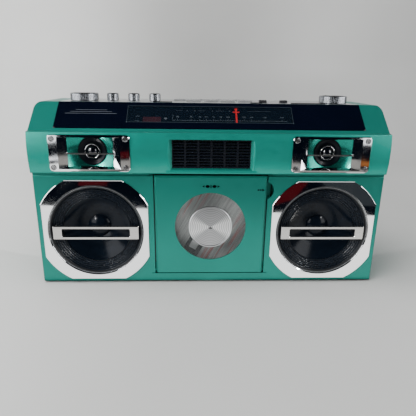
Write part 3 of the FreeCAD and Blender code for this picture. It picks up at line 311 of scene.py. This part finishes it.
def well_silver(centre):
    """Silver lacquer with slanted brush lines, faint red streaks along some of them as a painted
    reflection, and black beyond the tray's radius.
    """
    slant, drawn_out, tray_radius = math.radians(30.0), 16.0, 61.0 * MM
    s = Shader("well_silver", (0.60, 0.61, 0.60), 0.36, 0.25)
    turned = s.node("ShaderNodeMapping", vector_type="TEXTURE")
    turned.inputs["Rotation"].default_value = (0.0, slant, 0.0)
    turned.inputs["Scale"].default_value = (1.0, 1.0, drawn_out)
    s.link(s.coords, turned.inputs["Vector"])
    lines = s.noise(420.0, 4.0, turned.outputs["Vector"], 0.5)
    grain = s.ramp(lines, (0.30, 0.305, 0.30), (0.50, 0.51, 0.50))
    # Painted reflection: faint red along the brush lines, away from a diagonal through the centre.
    red = s.remap(s.noise(190.0, 2.0, turned.outputs["Vector"], 0.5), 0.0, 0.8, 0.50, 0.56)
    diagonal = s.math("SUBTRACT", s.axes()["X"], s.axes()["Z"])
    across = s.math("SUBTRACT", diagonal, centre.x - centre.z)
    reflection_patch = s.remap(s.math("ABSOLUTE", across, 0.0), 0.0, 1.0, 26.0 * MM, 46.0 * MM)
    red_reflection = s.math("MULTIPLY", red, reflection_patch)
    lacquer_and_reflection = s.mix(red_reflection, grain, (0.46, 0.13, 0.13, 1.0))
    beyond = s.remap(s.distance(centre, 1), 0.0, 1.0, tray_radius, tray_radius + 0.5 * MM)
    s.link(s.mix(beyond, lacquer_and_reflection, (0.004, 0.004, 0.005, 1.0)), s.bsdf.inputs["Base Color"])
    return s.bump(lines, 0.02 * MM, 0.4).material


def board_green():
    s = Shader("board_green", (0.015, 0.10, 0.04), 0.4)
    s.tint(s.speckle(260.0), 0.6, 1.5)
    return s.bump(s.noise(500.0, 3.0), 0.1 * MM, 0.4).material


# Painted light: a part that glows though it is no lamp.
def painted_glow(name, color, strength):
    s = Shader(name, color, 0.35)
    s.set("Specular IOR Level", 0.0)
    s.set("Emission Color", (*color, 1.0))
    s.set("Emission Strength", strength)
    return s.tint(s.noise(300.0, 2.0), 0.8, 1.2).material


def ink(name, color):
    s = Shader(name, color, 0.6)
    s.set("Specular IOR Level", 0.0)
    return s.tint(s.noise(800.0, 2.0), 0.85, 1.1).material


# ---- mesh tools ---------------------------------------------------------------------------------------
class Stamp:
    """Thin raised marks on a plane: origin, two directions across it and its outward normal."""

    def __init__(self, name, origin, across, up, out):
        self.name = name
        self.place = Matrix((across, up, out)).transposed().to_4x4()
        self.place.translation = origin
        self.mesh = bmesh.new()

    def polygon(self, points, height=PRINT_T):
        low = [self.mesh.verts.new(self.place @ Vector((x, y, 0.0))) for x, y in points]
        high = [self.mesh.verts.new(self.place @ Vector((x, y, height))) for x, y in points]
        self.mesh.faces.new(high)
        self.mesh.faces.new(low[::-1])
        for i in range(len(points)):
            j = (i + 1) % len(points)
            self.mesh.faces.new((low[i], low[j], high[j], high[i]))

    def bar(self, x, y, width, height):
        self.slab(x - width / 2, x + width / 2, y - height / 2, y + height / 2)

    def slab(self, x0, x1, y0, y1, height=PRINT_T):
        self.polygon([(x0, y0), (x1, y0), (x1, y1), (x0, y1)], height=height)

    def disc(self, x, y, rx, ry=None, sides=24, height=PRINT_T):
        ry = ry or rx
        turns = [2 * math.pi / sides * i for i in range(sides)]
        self.polygon([(x + rx * math.cos(turn), y + ry * math.sin(turn)) for turn in turns], height)

    def arrow(self, x, y, size, way=1):
        tail, tip = x - way * size / 2, x + way * size / 2
        self.polygon([(tail, y - size / 2), (tip, y), (tail, y + size / 2)][::way])

    def text(self, words, x, y, size):
        curve = bpy.data.curves.new("letters", "FONT")
        curve.body = words
        curve.size = size
        curve.align_x = "CENTER"
        curve.align_y = "CENTER"
        curve.extrude = PRINT_T / 2
        curve.resolution_u = 3
        holder = bpy.data.objects.new("letters", curve)
        letters = bpy.data.meshes.new_from_object(holder)
        letters.transform(self.place @ Matrix.Translation((x, y, PRINT_T / 2)))
        self.mesh.from_mesh(letters)
        bpy.data.objects.remove(holder)
        bpy.data.curves.remove(curve)
        bpy.data.meshes.remove(letters)

    def finish(self, material, body, slot):
        finish_mesh(self.name, self.mesh, material, body)


def level_stamp(name, origin):
    """A stamp that lies flat and faces up."""
    return Stamp(name, origin, RIGHT, BACK, UP)


def finish_mesh(name, mesh, material, body):
    """Turn a bmesh into a piece with a material and a body to ride on."""
    data = bpy.data.meshes.new(name)
    bmesh.ops.recalc_face_normals(mesh, faces=mesh.faces)
    mesh.to_mesh(data)
    mesh.free()
    data.materials.append(material)
    piece = bpy.data.objects.new(name, data)
    bpy.context.scene.collection.objects.link(piece)
    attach(piece, body)


def dress(material, *names):
    """Give CAD nodes a material."""
    for name in names:
        data = NODES[name].data
        data.materials.clear()
        data.materials.append(material)


def middle(node):
    low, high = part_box(node)
    return (low + high) / 2


# ---- the sloped dial face -----------------------------------------------------------------------------
class Slope:
    """Directions of the dial face, read from the lens: s runs up it and n points out of it."""

    def __init__(self):
        faces = NODES["dial_lens"].data.polygons
        front = max((f for f in faces if f.normal.z > 0.1 and f.normal.y < -0.1), key=lambda f: f.area)
        self.n = front.normal.normalized()
        self.x = RIGHT
        self.s = self.n.cross(self.x)
        if self.s.z < 0:
            self.s = -self.s

    def span(self, node, direction):
        reach = [v.co.dot(direction) for v in NODES[node].data.vertices]
        return min(reach), max(reach)

    def at(self, x, s, n):
        """The point with those three coordinates along the slope's directions."""
        return self.x * x + self.s * s + self.n * n

    def stamp(self, name, x, s, n):
        """A stamp at that point that lies along the slope."""
        return Stamp(name, self.at(x, s, n), self.x, self.s, self.n)


SLOPE = Slope()


def dial_print():
    """Tuning scale: baseline, ticks, generic numbers, indicator dots and labels."""
    card_face = SLOPE.span("dial_scale", SLOPE.n)[0] + 1.4 * MM
    foot = SLOPE.span("dial_lens", SLOPE.s)[0] - 11.2 * MM
    scale = SLOPE.stamp("dial_print", 0, foot, card_face)
    left, right = -48 * MM, 96 * MM
    scale.bar((left + right) / 2, 20.0 * MM, right - left, 0.35 * MM)
    stops = (-42.0, -25.0, -14.0, -6.0, 3.4, 12.2, 21.5, 41.6, 51.0, 68.0, 90.0)
    numbers = ("88", "90", "92", "94", "96", "98", "100", "102", "104", "106", "108")
    for x, words in zip(stops, numbers):
        scale.text(words, x * MM, 26.2 * MM, 3.4 * MM)
        scale.bar(x * MM, 21.6 * MM, 0.35 * MM, 2.4 * MM)
    for i in range(49):
        scale.bar(left + 3 * MM * i, 20.7 * MM, 0.2 * MM, 1.0 * MM)
    scale.bar(left, 25.0 * MM, 0.3 * MM, 10.0 * MM)
    for x in (-30.0, -20.5, 2.0, 24.0):
        scale.disc(x * MM, 36.8 * MM, 0.8 * MM)
    for x, width in ((-40.0, 8.0), (-12.0, 9.0), (12.0, 11.0), (62.0, 30.0)):
        scale.bar(x * MM, 36.8 * MM, width * MM, 0.35 * MM)
    for s in (26.5, 18.5):
        scale.bar(-92.0 * MM, s * MM, 5.0 * MM, 0.5 * MM)
    scale.disc(-57.0 * MM, 23.0 * MM, 2.0 * MM, 1.6 * MM)
    # Painted light: the scale's ink glows faintly, so that it shows behind the smoked lens.
    scale.finish(painted_glow("dial_ink_glow", (0.50, 0.56, 0.60), 0.13), "cabinet", "dial_black")


def window_outline():
    """Fine printed line round the dial window, on the face of the panel."""
    face = SLOPE.span("dial_panel", SLOPE.n)[1]
    x0, x1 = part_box("dial_lens")[0].x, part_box("dial_lens")[1].x
    s0, s1 = SLOPE.span("dial_lens", SLOPE.s)
    line = SLOPE.stamp("window_outline", 0, 0, face)
    thick = 0.30 * MM
    mid_x, mid_s = (x0 + x1) / 2, (s0 + s1) / 2
    for s in (s0 - thick, s1 + thick):
        line.bar(mid_x, s, x1 - x0 + 3 * thick, thick)
    for x in (x0 - thick, x1 + thick):
        line.bar(x, mid_s, thick, s1 - s0 + 3 * thick)
        line.disc(x, s0 - thick, 0.75 * MM)
    line.finish(ink("outline_ink", (0.045, 0.060, 0.068)), "cabinet", "black_gloss")


def panel_trim():
    """Plain dim lines at the left end of the panel, in place of a badge."""
    face = SLOPE.span("dial_panel", SLOPE.n)[1]
    foot = SLOPE.span("dial_lens", SLOPE.s)[0] - 14.8 * MM
    trim = SLOPE.stamp("panel_trim", 0, foot, face)
    for i, (start, end) in enumerate(((-180.0, -117.0), (-174.0, -123.0), (-168.0, -129.0))):
        trim.bar((start + end) / 2 * MM, (28.0 + 3.0 * i) * MM, (end - start) * MM, 0.5 * MM)
    trim.finish(ink("trim_ink", (0.085, 0.095, 0.11)), "cabinet", "chrome_trim")


def clock_digits():
    """Unlit seven-segment digits, given a faint painted glow so that they show in the display."""
    face = SLOPE.span("clock_display", SLOPE.n)[1]
    s0, s1 = SLOPE.span("clock_display", SLOPE.s)
    centre = middle("clock_display").x
    digits = SLOPE.stamp("clock_digits", centre, (s0 + s1) / 2, face)
    wide, tall, thick = 3.0 * MM, 3.1 * MM, 0.45 * MM
    for x in (-7.5, -3.0, 3.0, 7.5):
        for row in (-1, 0, 1):
            digits.bar(x * MM, row * tall, wide * 0.8, thick)
        for column in (-1, 1):
            for row in (-0.5, 0.5):
                digits.bar(x * MM + column * wide / 2, row * tall, thick, tall * 0.8)
    # Painted light: the segments glow faintly.
    digits.finish(painted_glow("display_segments", (0.20, 0.05, 0.05), 0.10), "cabinet", "display_red")


# ---- rings on the speakers ----------------------------------------------------------------------------
def torus_y(mesh, centre, radius, thick, around=72):
    """A ring of round section whose axis runs along Y; around is the number of steps in its circle."""
    section = 12
    loops = []
    for i in range(around):
        a = 2 * math.pi * i / around
        way = Vector((math.cos(a), 0, math.sin(a)))
        loop = []
        for j in range(section):
            b = 2 * math.pi * j / section
            at = centre + way * (radius + thick * math.cos(b)) + Vector((0, thick * math.sin(b), 0))
            loop.append(mesh.verts.new(at))
        loops.append(loop)
    for i in range(around):
        near, far = loops[i], loops[(i + 1) % around]
        for j in range(section):
            k = (j + 1) % section
            mesh.faces.new((near[j], far[j], far[k], near[k])).smooth = True


def tweeter_lips():
    """Polished wire ring on the lip of each tweeter, round its dome."""
    low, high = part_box("tweeter_domes")
    half = (high.z - low.z) / 2
    for side, x in (("left", low.x + half), ("right", high.x - half)):
        mesh = bmesh.new()
        centre = Vector((x, low.y + 3.2 * MM, (low.z + high.z) / 2))
        torus_y(mesh, centre, half + 0.85 * MM, 0.42 * MM)
        finish_mesh(side + "_tweeter_lip", mesh, MATERIALS["chrome"], "cabinet")


def woofer_rings():
    """Dark ring in the mouth of each bezel, standing for the gasket's edge and painted shade there, which
    also hides the mouth's facets, and a paler ring on the ridge of each gasket as a painted highlight.
    """
    ridge_highlight = grained_plastic("ridge_highlight_grey", (0.20, 0.21, 0.22), 0.25, 900.0, 0.01)
    seal_shade = grained_plastic("dark_shade_ring", (0.006, 0.007, 0.009), 0.35, 900.0, 0.01)
    # Painted highlight: the pale grey ring on each gasket's ridge. Painted shade: the dark ring in each
    # bezel's mouth.
    for node, name, inset, sink, thick, material in (
        ("woofer_gaskets", "ridge", 1.7, 0.0, 0.3, ridge_highlight),
        ("woofer_bezels", "seal_shade", 6.5, 0.6, 0.55, seal_shade),
    ):
        low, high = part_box(node)
        half = (high.z - low.z) / 2
        for side, x in (("left", low.x + half), ("right", high.x - half)):
            mesh = bmesh.new()
            centre = Vector((x, low.y + sink * MM, (low.z + high.z) / 2))
            torus_y(mesh, centre, half - inset * MM, thick * MM, 160)
            finish_mesh(side + "_woofer_" + name, mesh, material, "cabinet")


# ---- marks on the deck, the keys and the door ---------------------------------------------------------
def key_glyphs():
    """Generic transport symbols on the keys."""
    black = ink("key_ink", (0.02, 0.02, 0.02))
    size = 3.4 * MM

    def play(g):
        g.arrow(-0.7 * size, 0, size)
        for x in (0.45, 0.85):
            g.bar(x * size, 0, 0.2 * size, size)

    def stop(g):
        g.bar(0, 0, size, size)

    def skip(g, way):
        for x in (-0.4, 0.4):
            g.arrow(x * size, 0, 0.8 * size, way)
        g.bar(way * 0.95 * size, 0, 0.18 * size, 0.8 * size)

    def dashes(g, count):
        for i in range(count):
            g.bar((i - (count - 1) / 2) * 0.9 * size, 0, 0.6 * size, 0.18 * size)

    drawings = {
        "play_button": play,
        "stop_button": stop,
        "skip_back_button": lambda g: skip(g, -1),
        "skip_forward_button": lambda g: skip(g, 1),
        "mode_button": lambda g: dashes(g, 1),
        "repeat_button": lambda g: dashes(g, 2),
        "folder_button": lambda g: dashes(g, 3),
        "memory_button": lambda g: g.disc(0, 0, 0.4 * size),
    }
    for node, draw in drawings.items():
        low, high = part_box(node)
        at = Vector(((low.x + high.x) / 2, (low.y + high.y) / 2, high.z))
        glyph = level_stamp(node + "_glyph", at)
        draw(glyph)
        glyph.finish(black, node, "silver_key")


def deck_marks():
    """Dots round the knobs, ticks and dashes by the switches and keys, and dark strips at the front."""
    low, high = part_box("deck_plate")
    face = Vector((0, 0, high.z))
    marks = level_stamp("deck_marks", face)
    for node in KNOBS:
        near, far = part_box(node)
        radius = (far.x - near.x) / 2 + 1.6 * MM
        centre = middle(node)
        for i in range(11):
            angle = math.radians(240 - 30 * i)
            x, y = centre.x + radius * math.cos(angle), centre.y + radius * math.sin(angle)
            marks.disc(x, y, 0.35 * MM, sides=10)
    for node in ("band_switch", "function_switch"):
        centre = middle(node)
        for dx in (-7.0, 0.0, 7.0):
            marks.bar(centre.x + dx * MM, centre.y + 6.0 * MM, 0.4 * MM, 2.0 * MM)
    for node in KEYS:
        near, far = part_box(node)
        marks.bar((near.x + far.x) / 2, far.y + 2.2 * MM, 6.0 * MM, 0.35 * MM)
    marks.finish(ink("deck_ink", (0.03, 0.03, 0.032)), "cabinet", "silver_plate")
    strips = level_stamp("deck_strips", face)
    for start, end in ((-74.0, -49.5), (52.0, 67.0), (105.0, 150.0)):
        strips.slab(start * MM, end * MM, low.y + 5.0 * MM, low.y + 8.0 * MM, 0.9 * MM)
    strips.finish(ink("strip_ink", (0.012, 0.012, 0.014)), "cabinet", "silver_plate")


def door_marks():
    """Small generic signs on the disc door: a row above the window and an opening mark at the edge."""
    low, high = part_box("cd_door")
    face = Vector((0, low.y, 0))
    marks = Stamp("door_marks", face, RIGHT, UP, -BACK)
    row = high.z - 13.2 * MM
    for x in (-4.3, 4.3):
        marks.disc(x * MM, row, 2.7 * MM, 1.9 * MM)
    for x, way in ((-9.6, -1), (9.6, 1)):
        marks.arrow(x * MM, row, 3.0 * MM, way)
    for x in (-0.7, 0.7):
        marks.bar(x * MM, row, 0.7 * MM, 4.2 * MM)
    edge = high.x - 12.0 * MM
    for dx in (-3.4, -0.6):
        marks.bar(edge + dx * MM, row - 4.4 * MM, 2.2 * MM, 1.8 * MM)
    marks.arrow(edge + 3.0 * MM, row - 4.4 * MM, 3.4 * MM)
    marks.finish(ink("door_ink", (0.002, 0.002, 0.003)), "cd_door", "teal_paint")


def knob_tops():
    """A dark inlay in the dished top of each turning knob, with a pale index line."""
    dark = grained_plastic("knob_inlay", (0.012, 0.012, 0.014), 0.4, 900.0, 0.02)
    pale = ink("index_ink", (0.55, 0.56, 0.57))
    thick = 0.85 * MM
    for node in KNOBS:
        near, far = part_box(node)
        radius = (far.x - near.x) / 2
        floor = Vector((middle(node).x, middle(node).y, far.z - 0.7 * MM))
        inlay = level_stamp(node + "_inlay", floor)
        inlay.disc(0, 0, 0.76 * radius, sides=64, height=thick)
        inlay.finish(dark, node, "knob_chrome")
        line = level_stamp(node + "_index", floor + UP * thick)
        line.bar(0, 0.5 * radius, 0.06 * radius + 0.3 * MM, 0.42 * radius)
        line.finish(pale, node, "knob_chrome")


def door_gap_shadow():
    """Painted shadow: black round the inside of the door's opening for the shade in the gap, and a black
    line under the door for the shadow of its edge.
    """
    low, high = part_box("cd_door")
    front, back = low.y + 3.1 * MM, low.y + 9.0 * MM
    floor, top = low.z - 1.8 * MM, high.z + 1.0 * MM
    half = (high.x - low.x) / 2 + 1.6 * MM
    # Painted shadow: black strips on the four walls of the opening.
    black = ink("gap_shadow_black", (0.003, 0.003, 0.004))
    tall, mid = top - floor, (floor + top) / 2
    for name, x, z, across, out, length in (
        ("gap_shadow_floor", 0, floor, RIGHT, UP, 2 * half),
        ("gap_shadow_top", 0, top, -RIGHT, -UP, 2 * half),
        ("gap_shadow_left", -half, mid, -UP, RIGHT, tall),
        ("gap_shadow_right", half, mid, UP, -RIGHT, tall),
    ):
        strip = Stamp(name, Vector((x, front, z)), across, BACK, out)
        strip.slab(-length / 2, length / 2, 0.0, back - front)
        strip.finish(black, "cabinet", "teal_paint")
    # Painted shadow: a black line under the door's bottom edge.
    sill = Stamp("sill_shadow", Vector((0, low.y + 3.0 * MM, floor)), RIGHT, UP, -BACK)
    sill.slab(-half, half, -0.7 * MM, 0.0)
    sill.finish(black, "cabinet", "teal_paint")


def convex_outline(points):
    """The corners of the smallest convex outline round points, counter-clockwise."""

    def chain(ordered):
        kept = []
        for point in ordered:
            while len(kept) > 1:
                (ax, az), (bx, bz) = kept[-2:]
                if (bx - ax) * (point[1] - az) - (bz - az) * (point[0] - ax) > 0:
                    break
                kept.pop()
            kept.append(point)
        return kept[:-1]

    ordered = sorted(points)
    return chain(ordered) + chain(ordered[::-1])


def parting_line():
    """Dark gap down the sides and under the bottom, where the front cabinet meets the rear one."""
    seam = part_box("rear_cabinet")[0].y
    near = [v.co for v in NODES["rear_cabinet"].data.vertices if abs(v.co.y - seam) < 0.05 * MM]
    outline = convex_outline({(round(co.x, 5), round(co.z, 5)) for co in near})
    top = max(z for _, z in outline)
    ridge = [point for point in outline if point[1] > top - 0.1 * MM]
    start = outline.index(min(ridge))
    path = outline[start:] + outline[:start]
    mesh = bmesh.new()
    rows = []
    for x, z in path[: path.index(max(ridge)) + 1]:
        out_x, out_z = math.copysign(1.0, x), math.copysign(1.0, z - top / 2)
        row = []
        for step, side in ((PRINT_T, -1), (PRINT_T, 1), (-4 * PRINT_T, 1), (-4 * PRINT_T, -1)):
            row.append(mesh.verts.new((x + step * out_x, seam + side * 0.3 * MM, z + step * out_z)))
        rows.append(row)
    for one, two in zip(rows, rows[1:]):
        for i in range(4):
            j = (i + 1) % 4
            mesh.faces.new((one[i], one[j], two[j], two[i]))
    mesh.faces.new(rows[0])
    mesh.faces.new(rows[-1][::-1])
    finish_mesh("parting_line", mesh, ink("seam_black", (0.003, 0.012, 0.010)), "cabinet")


# ---- materials of the CAD nodes -----------------------------------------------------------------------
MATERIALS = {
    "teal": teal_paint("teal_paint", (0.0036, 0.190, 0.148), 0.55, 0.34),
    "chrome": chrome(),
    "deck": brushed("silver_plate", (0.58, 0.585, 0.59), 0.32, 0),
    "key": brushed("silver_key", (0.60, 0.605, 0.61), 0.30, 0, 0.8),
    "steel": brushed("bright_steel", (0.66, 0.66, 0.66), 0.22, 0),
}


def dress_all():
    dress(MATERIALS["teal"], "front_cabinet", "rear_cabinet", "cd_door")
    dress(teal_paint("teal_gloss", (0.008, 0.190, 0.145), 0.80, 0.24), "tweeter_dishes")
    dress(MATERIALS["chrome"], "woofer_bezels", "tweeter_frames")
    # Painted reflection: the rods' chrome is darkened in colour for the dark surroundings it mirrors.
    dress(brushed("shaded_chrome", (0.16, 0.155, 0.155), 0.14, 0), "tweeter_rods")
    dress(brushed("satin_chrome", (0.47, 0.463, 0.445), 0.16, 0), "woofer_bars")
    for node in KNOBS:
        dress(knob_chrome(node + "_chrome", middle(node)), node)
    dress(spun_aluminium(middle("cd_cap")), "cd_cap")
    dress(MATERIALS["deck"], "deck_plate")
    dress(MATERIALS["key"], *KEYS)
    dress(well_silver(middle("cd_cap")), "cd_well")
    dress(black_gloss(), "dial_panel")
    dress(acrylic("clear_acrylic", (0.40, 0.42, 0.42), 0.06), "cd_window")
    dress(acrylic("smoked_acrylic", (0.004, 0.008, 0.014), 0.48), "dial_lens")
    dial = Shader("dial_black", (0.0025, 0.004, 0.006), 0.6)
    dial.set("Specular IOR Level", 0.0)
    dress(dial.tint(dial.noise(30.0, 3.0), 0.85, 1.15).material, "dial_scale")
    # Painted light: the unlit display window glows faintly.
    dress(painted_glow("display_red", (0.20, 0.05, 0.055), 0.12), "clock_display")
    # Painted light: the pointer glows though it is no lamp.
    dress(painted_glow("pointer_red", (0.90, 0.03, 0.025), 1.7), "dial_pointer")
    black = grained_plastic("black_plastic", (0.010, 0.010, 0.012), 0.42)
    dress(black, "band_switch", "function_switch", "battery_door", "battery_bay")
    dress(black, "audio_jacks", "mains_inlet", "carry_handle", "cd_hub")
    dress(grained_plastic("grey_plastic", (0.065, 0.072, 0.072), 0.4), "cd_mechanism")
    satin = grained_plastic("black_satin", (0.005, 0.007, 0.012), 0.26, 900.0, 0.015)
    dress(satin, "centre_grille")
    driver = Shader("driver_black", (0.0025, 0.0045, 0.008), 0.32)
    driver.set("Specular IOR Level", 0.12)
    dress(driver.bump(driver.noise(900.0, 2.0), 0.01 * MM, 0.4).material, "tweeter_drivers")
    dome = Shader("dome_gloss", (0.0012, 0.0022, 0.0060), 0.05)
    dome.set("Specular IOR Level", 1.0)
    dress(dome.rough(dome.noise(120.0, 4.0), 0.04, 0.07).material, "tweeter_domes")
    dress(cone_paper(), "left_woofer_cone", "right_woofer_cone")
    dress(treated_cloth(), "woofer_surrounds")
    dress(rubber(), "woofer_gaskets", "feet")
    dress(MATERIALS["steel"], "woofer_baskets", "screws", "hinge_pins", "antenna_knuckle", "antenna_tube")
    dress(MATERIALS["steel"], "antenna_rod", "tuning_capacitor")
    dress(brushed("bright_zinc", (0.85, 0.86, 0.86), 0.30, 0, 0.4), "cd_sled")
    ferrite = grained_plastic("ferrite", (0.03, 0.03, 0.032), 0.5)
    dress(ferrite, "woofer_magnets", "ferrite_antenna", "transformer")
    dress(board_green(), "control_board", "main_board")


# ---- camera, stage and light --------------------------------------------------------------------------
def camera():
    data = bpy.data.cameras.new("camera")
    data.lens = CAMERA_LENS
    data.sensor_width = CAMERA_FILM
    turn = Matrix.Rotation(CAMERA_YAW, 3, "Z") @ Matrix.Rotation(-CAMERA_PITCH, 3, "X")
    turn = turn @ Matrix.Rotation(CAMERA_ROLL, 3, "Y") @ Matrix.Rotation(math.pi / 2, 3, "X")
    holder = bpy.data.objects.new("camera", data)
    holder.matrix_world = Matrix.Translation(CAMERA_AT) @ turn.to_4x4()
    bpy.context.scene.collection.objects.link(holder)
    bpy.context.scene.camera = holder


def stage_object(name, mesh, material):
    """Turn a bmesh into a part of the stage."""
    data = bpy.data.meshes.new(name)
    mesh.to_mesh(data)
    mesh.free()
    data.materials.append(material)
    sheet = bpy.data.objects.new(name, data)
    bpy.context.scene.collection.objects.link(sheet)
    return sheet


def stage_sheet(name, outline, width, material):
    """A sheet swept along X from an outline of (y, z) points."""
    mesh = bmesh.new()
    rows = [[mesh.verts.new((x, y, z)) for x in (-width / 2, width / 2)] for y, z in outline]
    for (a, b), (c, d) in zip(rows, rows[1:]):
        mesh.faces.new((a, b, d, c)).smooth = True
    return stage_object(name, mesh, material)


def stage_paper():
    """Pale paper, with painted light: lighter at the two sides, and a little darker on the wall than on
    the open floor as painted shade.
    """
    s = Shader("stage_paper", (0.70, 0.70, 0.685), 0.42)
    # Painted light: brightest at the left end, darkest in the middle, bright again at the right.
    across = s.node("ShaderNodeValToRGB")
    across.color_ramp.interpolation = "EASE"
    for position, shade in ((0.0, 1.40), (0.5, 0.72), (1.0, 1.14)):
        stop = across.color_ramp.elements.new(position)
        stop.color = (shade, shade, shade, 1.0)
    across.color_ramp.elements.remove(across.color_ramp.elements[0])
    across.color_ramp.elements.remove(across.color_ramp.elements[-1])
    s.link(s.remap(s.axes()["X"], 0.0, 1.0, -0.75, 0.75), across.inputs["Fac"])
    # Painted shade: darker further back, on the wall.
    depth = s.remap(s.axes()["Y"], 1.0, 0.86, -0.10, 0.06)
    cloud = s.remap(s.noise(3.0, 3.0), 0.97, 1.03)
    paper = s.node("ShaderNodeVectorMath", operation="SCALE")
    s.link(across.outputs["Color"], paper.inputs[0])
    s.link(s.math("MULTIPLY", depth, cloud), paper.inputs["Scale"])
    tone = s.node("ShaderNodeVectorMath", operation="MULTIPLY")
    tone.inputs[1].default_value = s.color
    s.link(paper.outputs["Vector"], tone.inputs[0])
    s.link(tone.outputs["Vector"], s.bsdf.inputs["Base Color"])
    return s.bump(s.noise(40.0, 4.0), 0.2 * MM, 0.1).material


def flat_tone(name, color, strength):
    """A card that only shines: strength times one colour, with no gloss of its own."""
    s = Shader(name, (0.0, 0.0, 0.0), 1.0)
    s.set("Specular IOR Level", 0.0)
    s.set("Emission Color", (*color, 1.0))
    s.set("Emission Strength", strength)
    return s.material


def card(name, corners, material):
    """A studio card that only shiny surfaces see, from two matching rows of corners."""
    mesh = bmesh.new()
    rows = [[mesh.verts.new(corner) for corner in row] for row in corners]
    for (a, b), (c, d) in zip(zip(*rows), zip(*[row[1:] for row in rows])):
        mesh.faces.new((a, b, d, c))
    sheet = stage_object(name, mesh, material)
    sheet.visible_camera = False
    sheet.visible_diffuse = False
    sheet.visible_transmission = False
    sheet.visible_shadow = False


def ring_card(name, material, near, far, start, end):
    """A card bent round the middle of the front: near and far are (radius, height), the rest degrees."""
    steps = max(1, round((end - start) / 6.0))
    rows = []
    for radius, height in (near, far):
        row = []
        for i in range(steps + 1):
            angle = math.radians(start + (end - start) * i / steps)
            row.append((radius * math.sin(angle), CAD_BOUNDS[0].y - radius * math.cos(angle), height))
        rows.append(row)
    card(name, rows, material)


def stage():
    """Pale floor that curves up into a backdrop, and cards for the shiny parts to mirror."""
    radius, wall_y = 0.35, 0.75
    turns = [i * math.pi / 32 for i in range(17)]
    curve = [(wall_y + radius * math.sin(a), radius * (1 - math.cos(a))) for a in turns]
    stage_sheet("backdrop", [(-4.0, 0.0)] + curve + [(wall_y + radius, 3.0)], 9.0, stage_paper())
    cards()


def cards():
    """What stands round the front: bright paper near it, a dark floor, a pale edge and a dim room."""
    front = CAD_BOUNDS[0].y
    dark = flat_tone("card_dark", (0.15, 0.35, 0.8), 0.008)
    grey = flat_tone("card_grey", (0.75, 0.88, 1.0), 0.045)
    white = flat_tone("card_white", (1.0, 1.0, 0.99), 1.7)
    beige = flat_tone("card_beige", (1.0, 0.96, 0.90), 0.36)
    red = flat_tone("card_red", (1.0, 0.07, 0.11), 0.065)
    orange = flat_tone("card_orange", (1.0, 0.34, 0.09), 0.36)
    pale = flat_tone("card_pale", (0.95, 0.97, 1.0), 1.8)
    lamp = flat_tone("card_lamp", (1.0, 1.0, 1.0), 140.0)
    half, low, edge = 0.46, 0.0012, 0.926
    near_row = [(-half, front + 0.002, low), (half, front + 0.002, low)]
    card("card_near", [near_row, [(-half, front - 0.348, low), (half, front - 0.262, low)]], white)
    left_red = [[(-0.31, front - 0.505, low), (-0.24, front - 0.505, low)]]
    left_red.append([(-0.33, front - 0.62, low), (-0.25, front - 0.62, low)])
    card("card_red_left", left_red, red)
    right_red = [[(0.145, front - 0.335, low), (0.21, front - 0.39, low)]]
    right_red.append([(0.235, front - 0.56, low), (0.29, front - 0.56, low)])
    card("card_red_right", right_red, red)
    right_grey = [[(0.30, front - 0.34, low), (0.46, front - 0.34, low)]]
    right_grey.append([(0.33, front - 0.60, low), (0.52, front - 0.60, low)])
    card("card_grey_right", right_grey, grey)
    ring_card("card_floor", dark, (0.0, 0.0003), (0.93, 0.0003), -110, 110)
    ring_card("card_rim", beige, (0.74, 0.0006), (0.885, 0.0006), -27, 42)
    ring_card("card_rim_left", white, (0.74, 0.0006), (0.915, 0.0006), -40, -27)
    for name, start, end in (("card_far_left", -96, -40), ("card_far_right", 42, 96)):
        ring_card(name, beige, (0.66, 0.0006), (0.82, 0.0006), start, end)
    ring_card("card_wall", dark, (0.93, 0.0), (0.93, 1.6), -110, 110)
    ring_card("card_ceiling", dark, (0.0, 1.6), (1.4, 1.6), -180, 180)
    bright = flat_tone("card_bright", (0.97, 0.98, 1.0), 6.0)
    ring_card("card_left_wall", bright, (edge, 0.14), (edge, 0.75), -100, -40)
    ring_card("card_right_wall", bright, (edge, 0.14), (edge, 0.75), 46, 100)
    ring_card("card_red_far", red, (edge, 0.0), (edge, 0.022), -17.5, -13)
    ring_card("card_orange", orange, (edge, 0.004), (edge, 0.020), 32, 37)
    ring_card("card_glint_left", pale, (edge, 0.066), (edge, 0.13), -36, -28.9)
    ring_card("card_line_left", pale, (edge, 0.010), (edge, 0.020), -40, -26)
    ring_card("card_glint_right", pale, (edge, 0.072), (edge, 0.13), 33.2, 42)
    for name, angle, height, size in (
        ("card_lamp_a", -53.0, 0.67, 0.18),
        ("card_lamp_b", 59.6, 0.784, 0.12),
        ("card_lamp_c", 75.4, 0.637, 0.12),
    ):
        near, far = (edge - 0.004, height - size / 2), (edge - 0.004, height + size / 2)
        ring_card(name, lamp, near, far, angle - 3, angle + 3)


def softbox(name, place, target, size, power):
    """A rectangular lamp that shiny surfaces don't mirror."""
    data = bpy.data.lights.new(name, "AREA")
    data.shape = "RECTANGLE"
    data.size, data.size_y = size
    data.energy = power
    lamp = bpy.data.objects.new(name, data)
    lamp.location = place
    lamp.rotation_euler = (Vector(target) - Vector(place)).to_track_quat("-Z", "Y").to_euler()
    lamp.visible_glossy = False
    bpy.context.scene.collection.objects.link(lamp)


def lights():
    softbox("overhead", (-0.35, -0.25, 1.5), (0, 0, 0.1), (1.2, 0.9), 25.0)
    softbox("left_fill", (-1.3, -1.1, 0.9), (0, 0, 0.1), (1.0, 1.0), 25.0)
    world = bpy.data.worlds.new("world")
    world.use_nodes = True
    world.node_tree.nodes["Background"].inputs["Color"].default_value = (0.96, 0.98, 1.0, 1.0)
    world.node_tree.nodes["Background"].inputs["Strength"].default_value = 0.52
    bpy.context.scene.world = world


def main():
    dress_all()
    dial_print()
    window_outline()
    panel_trim()
    clock_digits()
    tweeter_lips()
    woofer_rings()
    key_glyphs()
    deck_marks()
    door_marks()
    door_gap_shadow()
    parting_line()
    knob_tops()
    camera()
    stage()
    lights()


main()
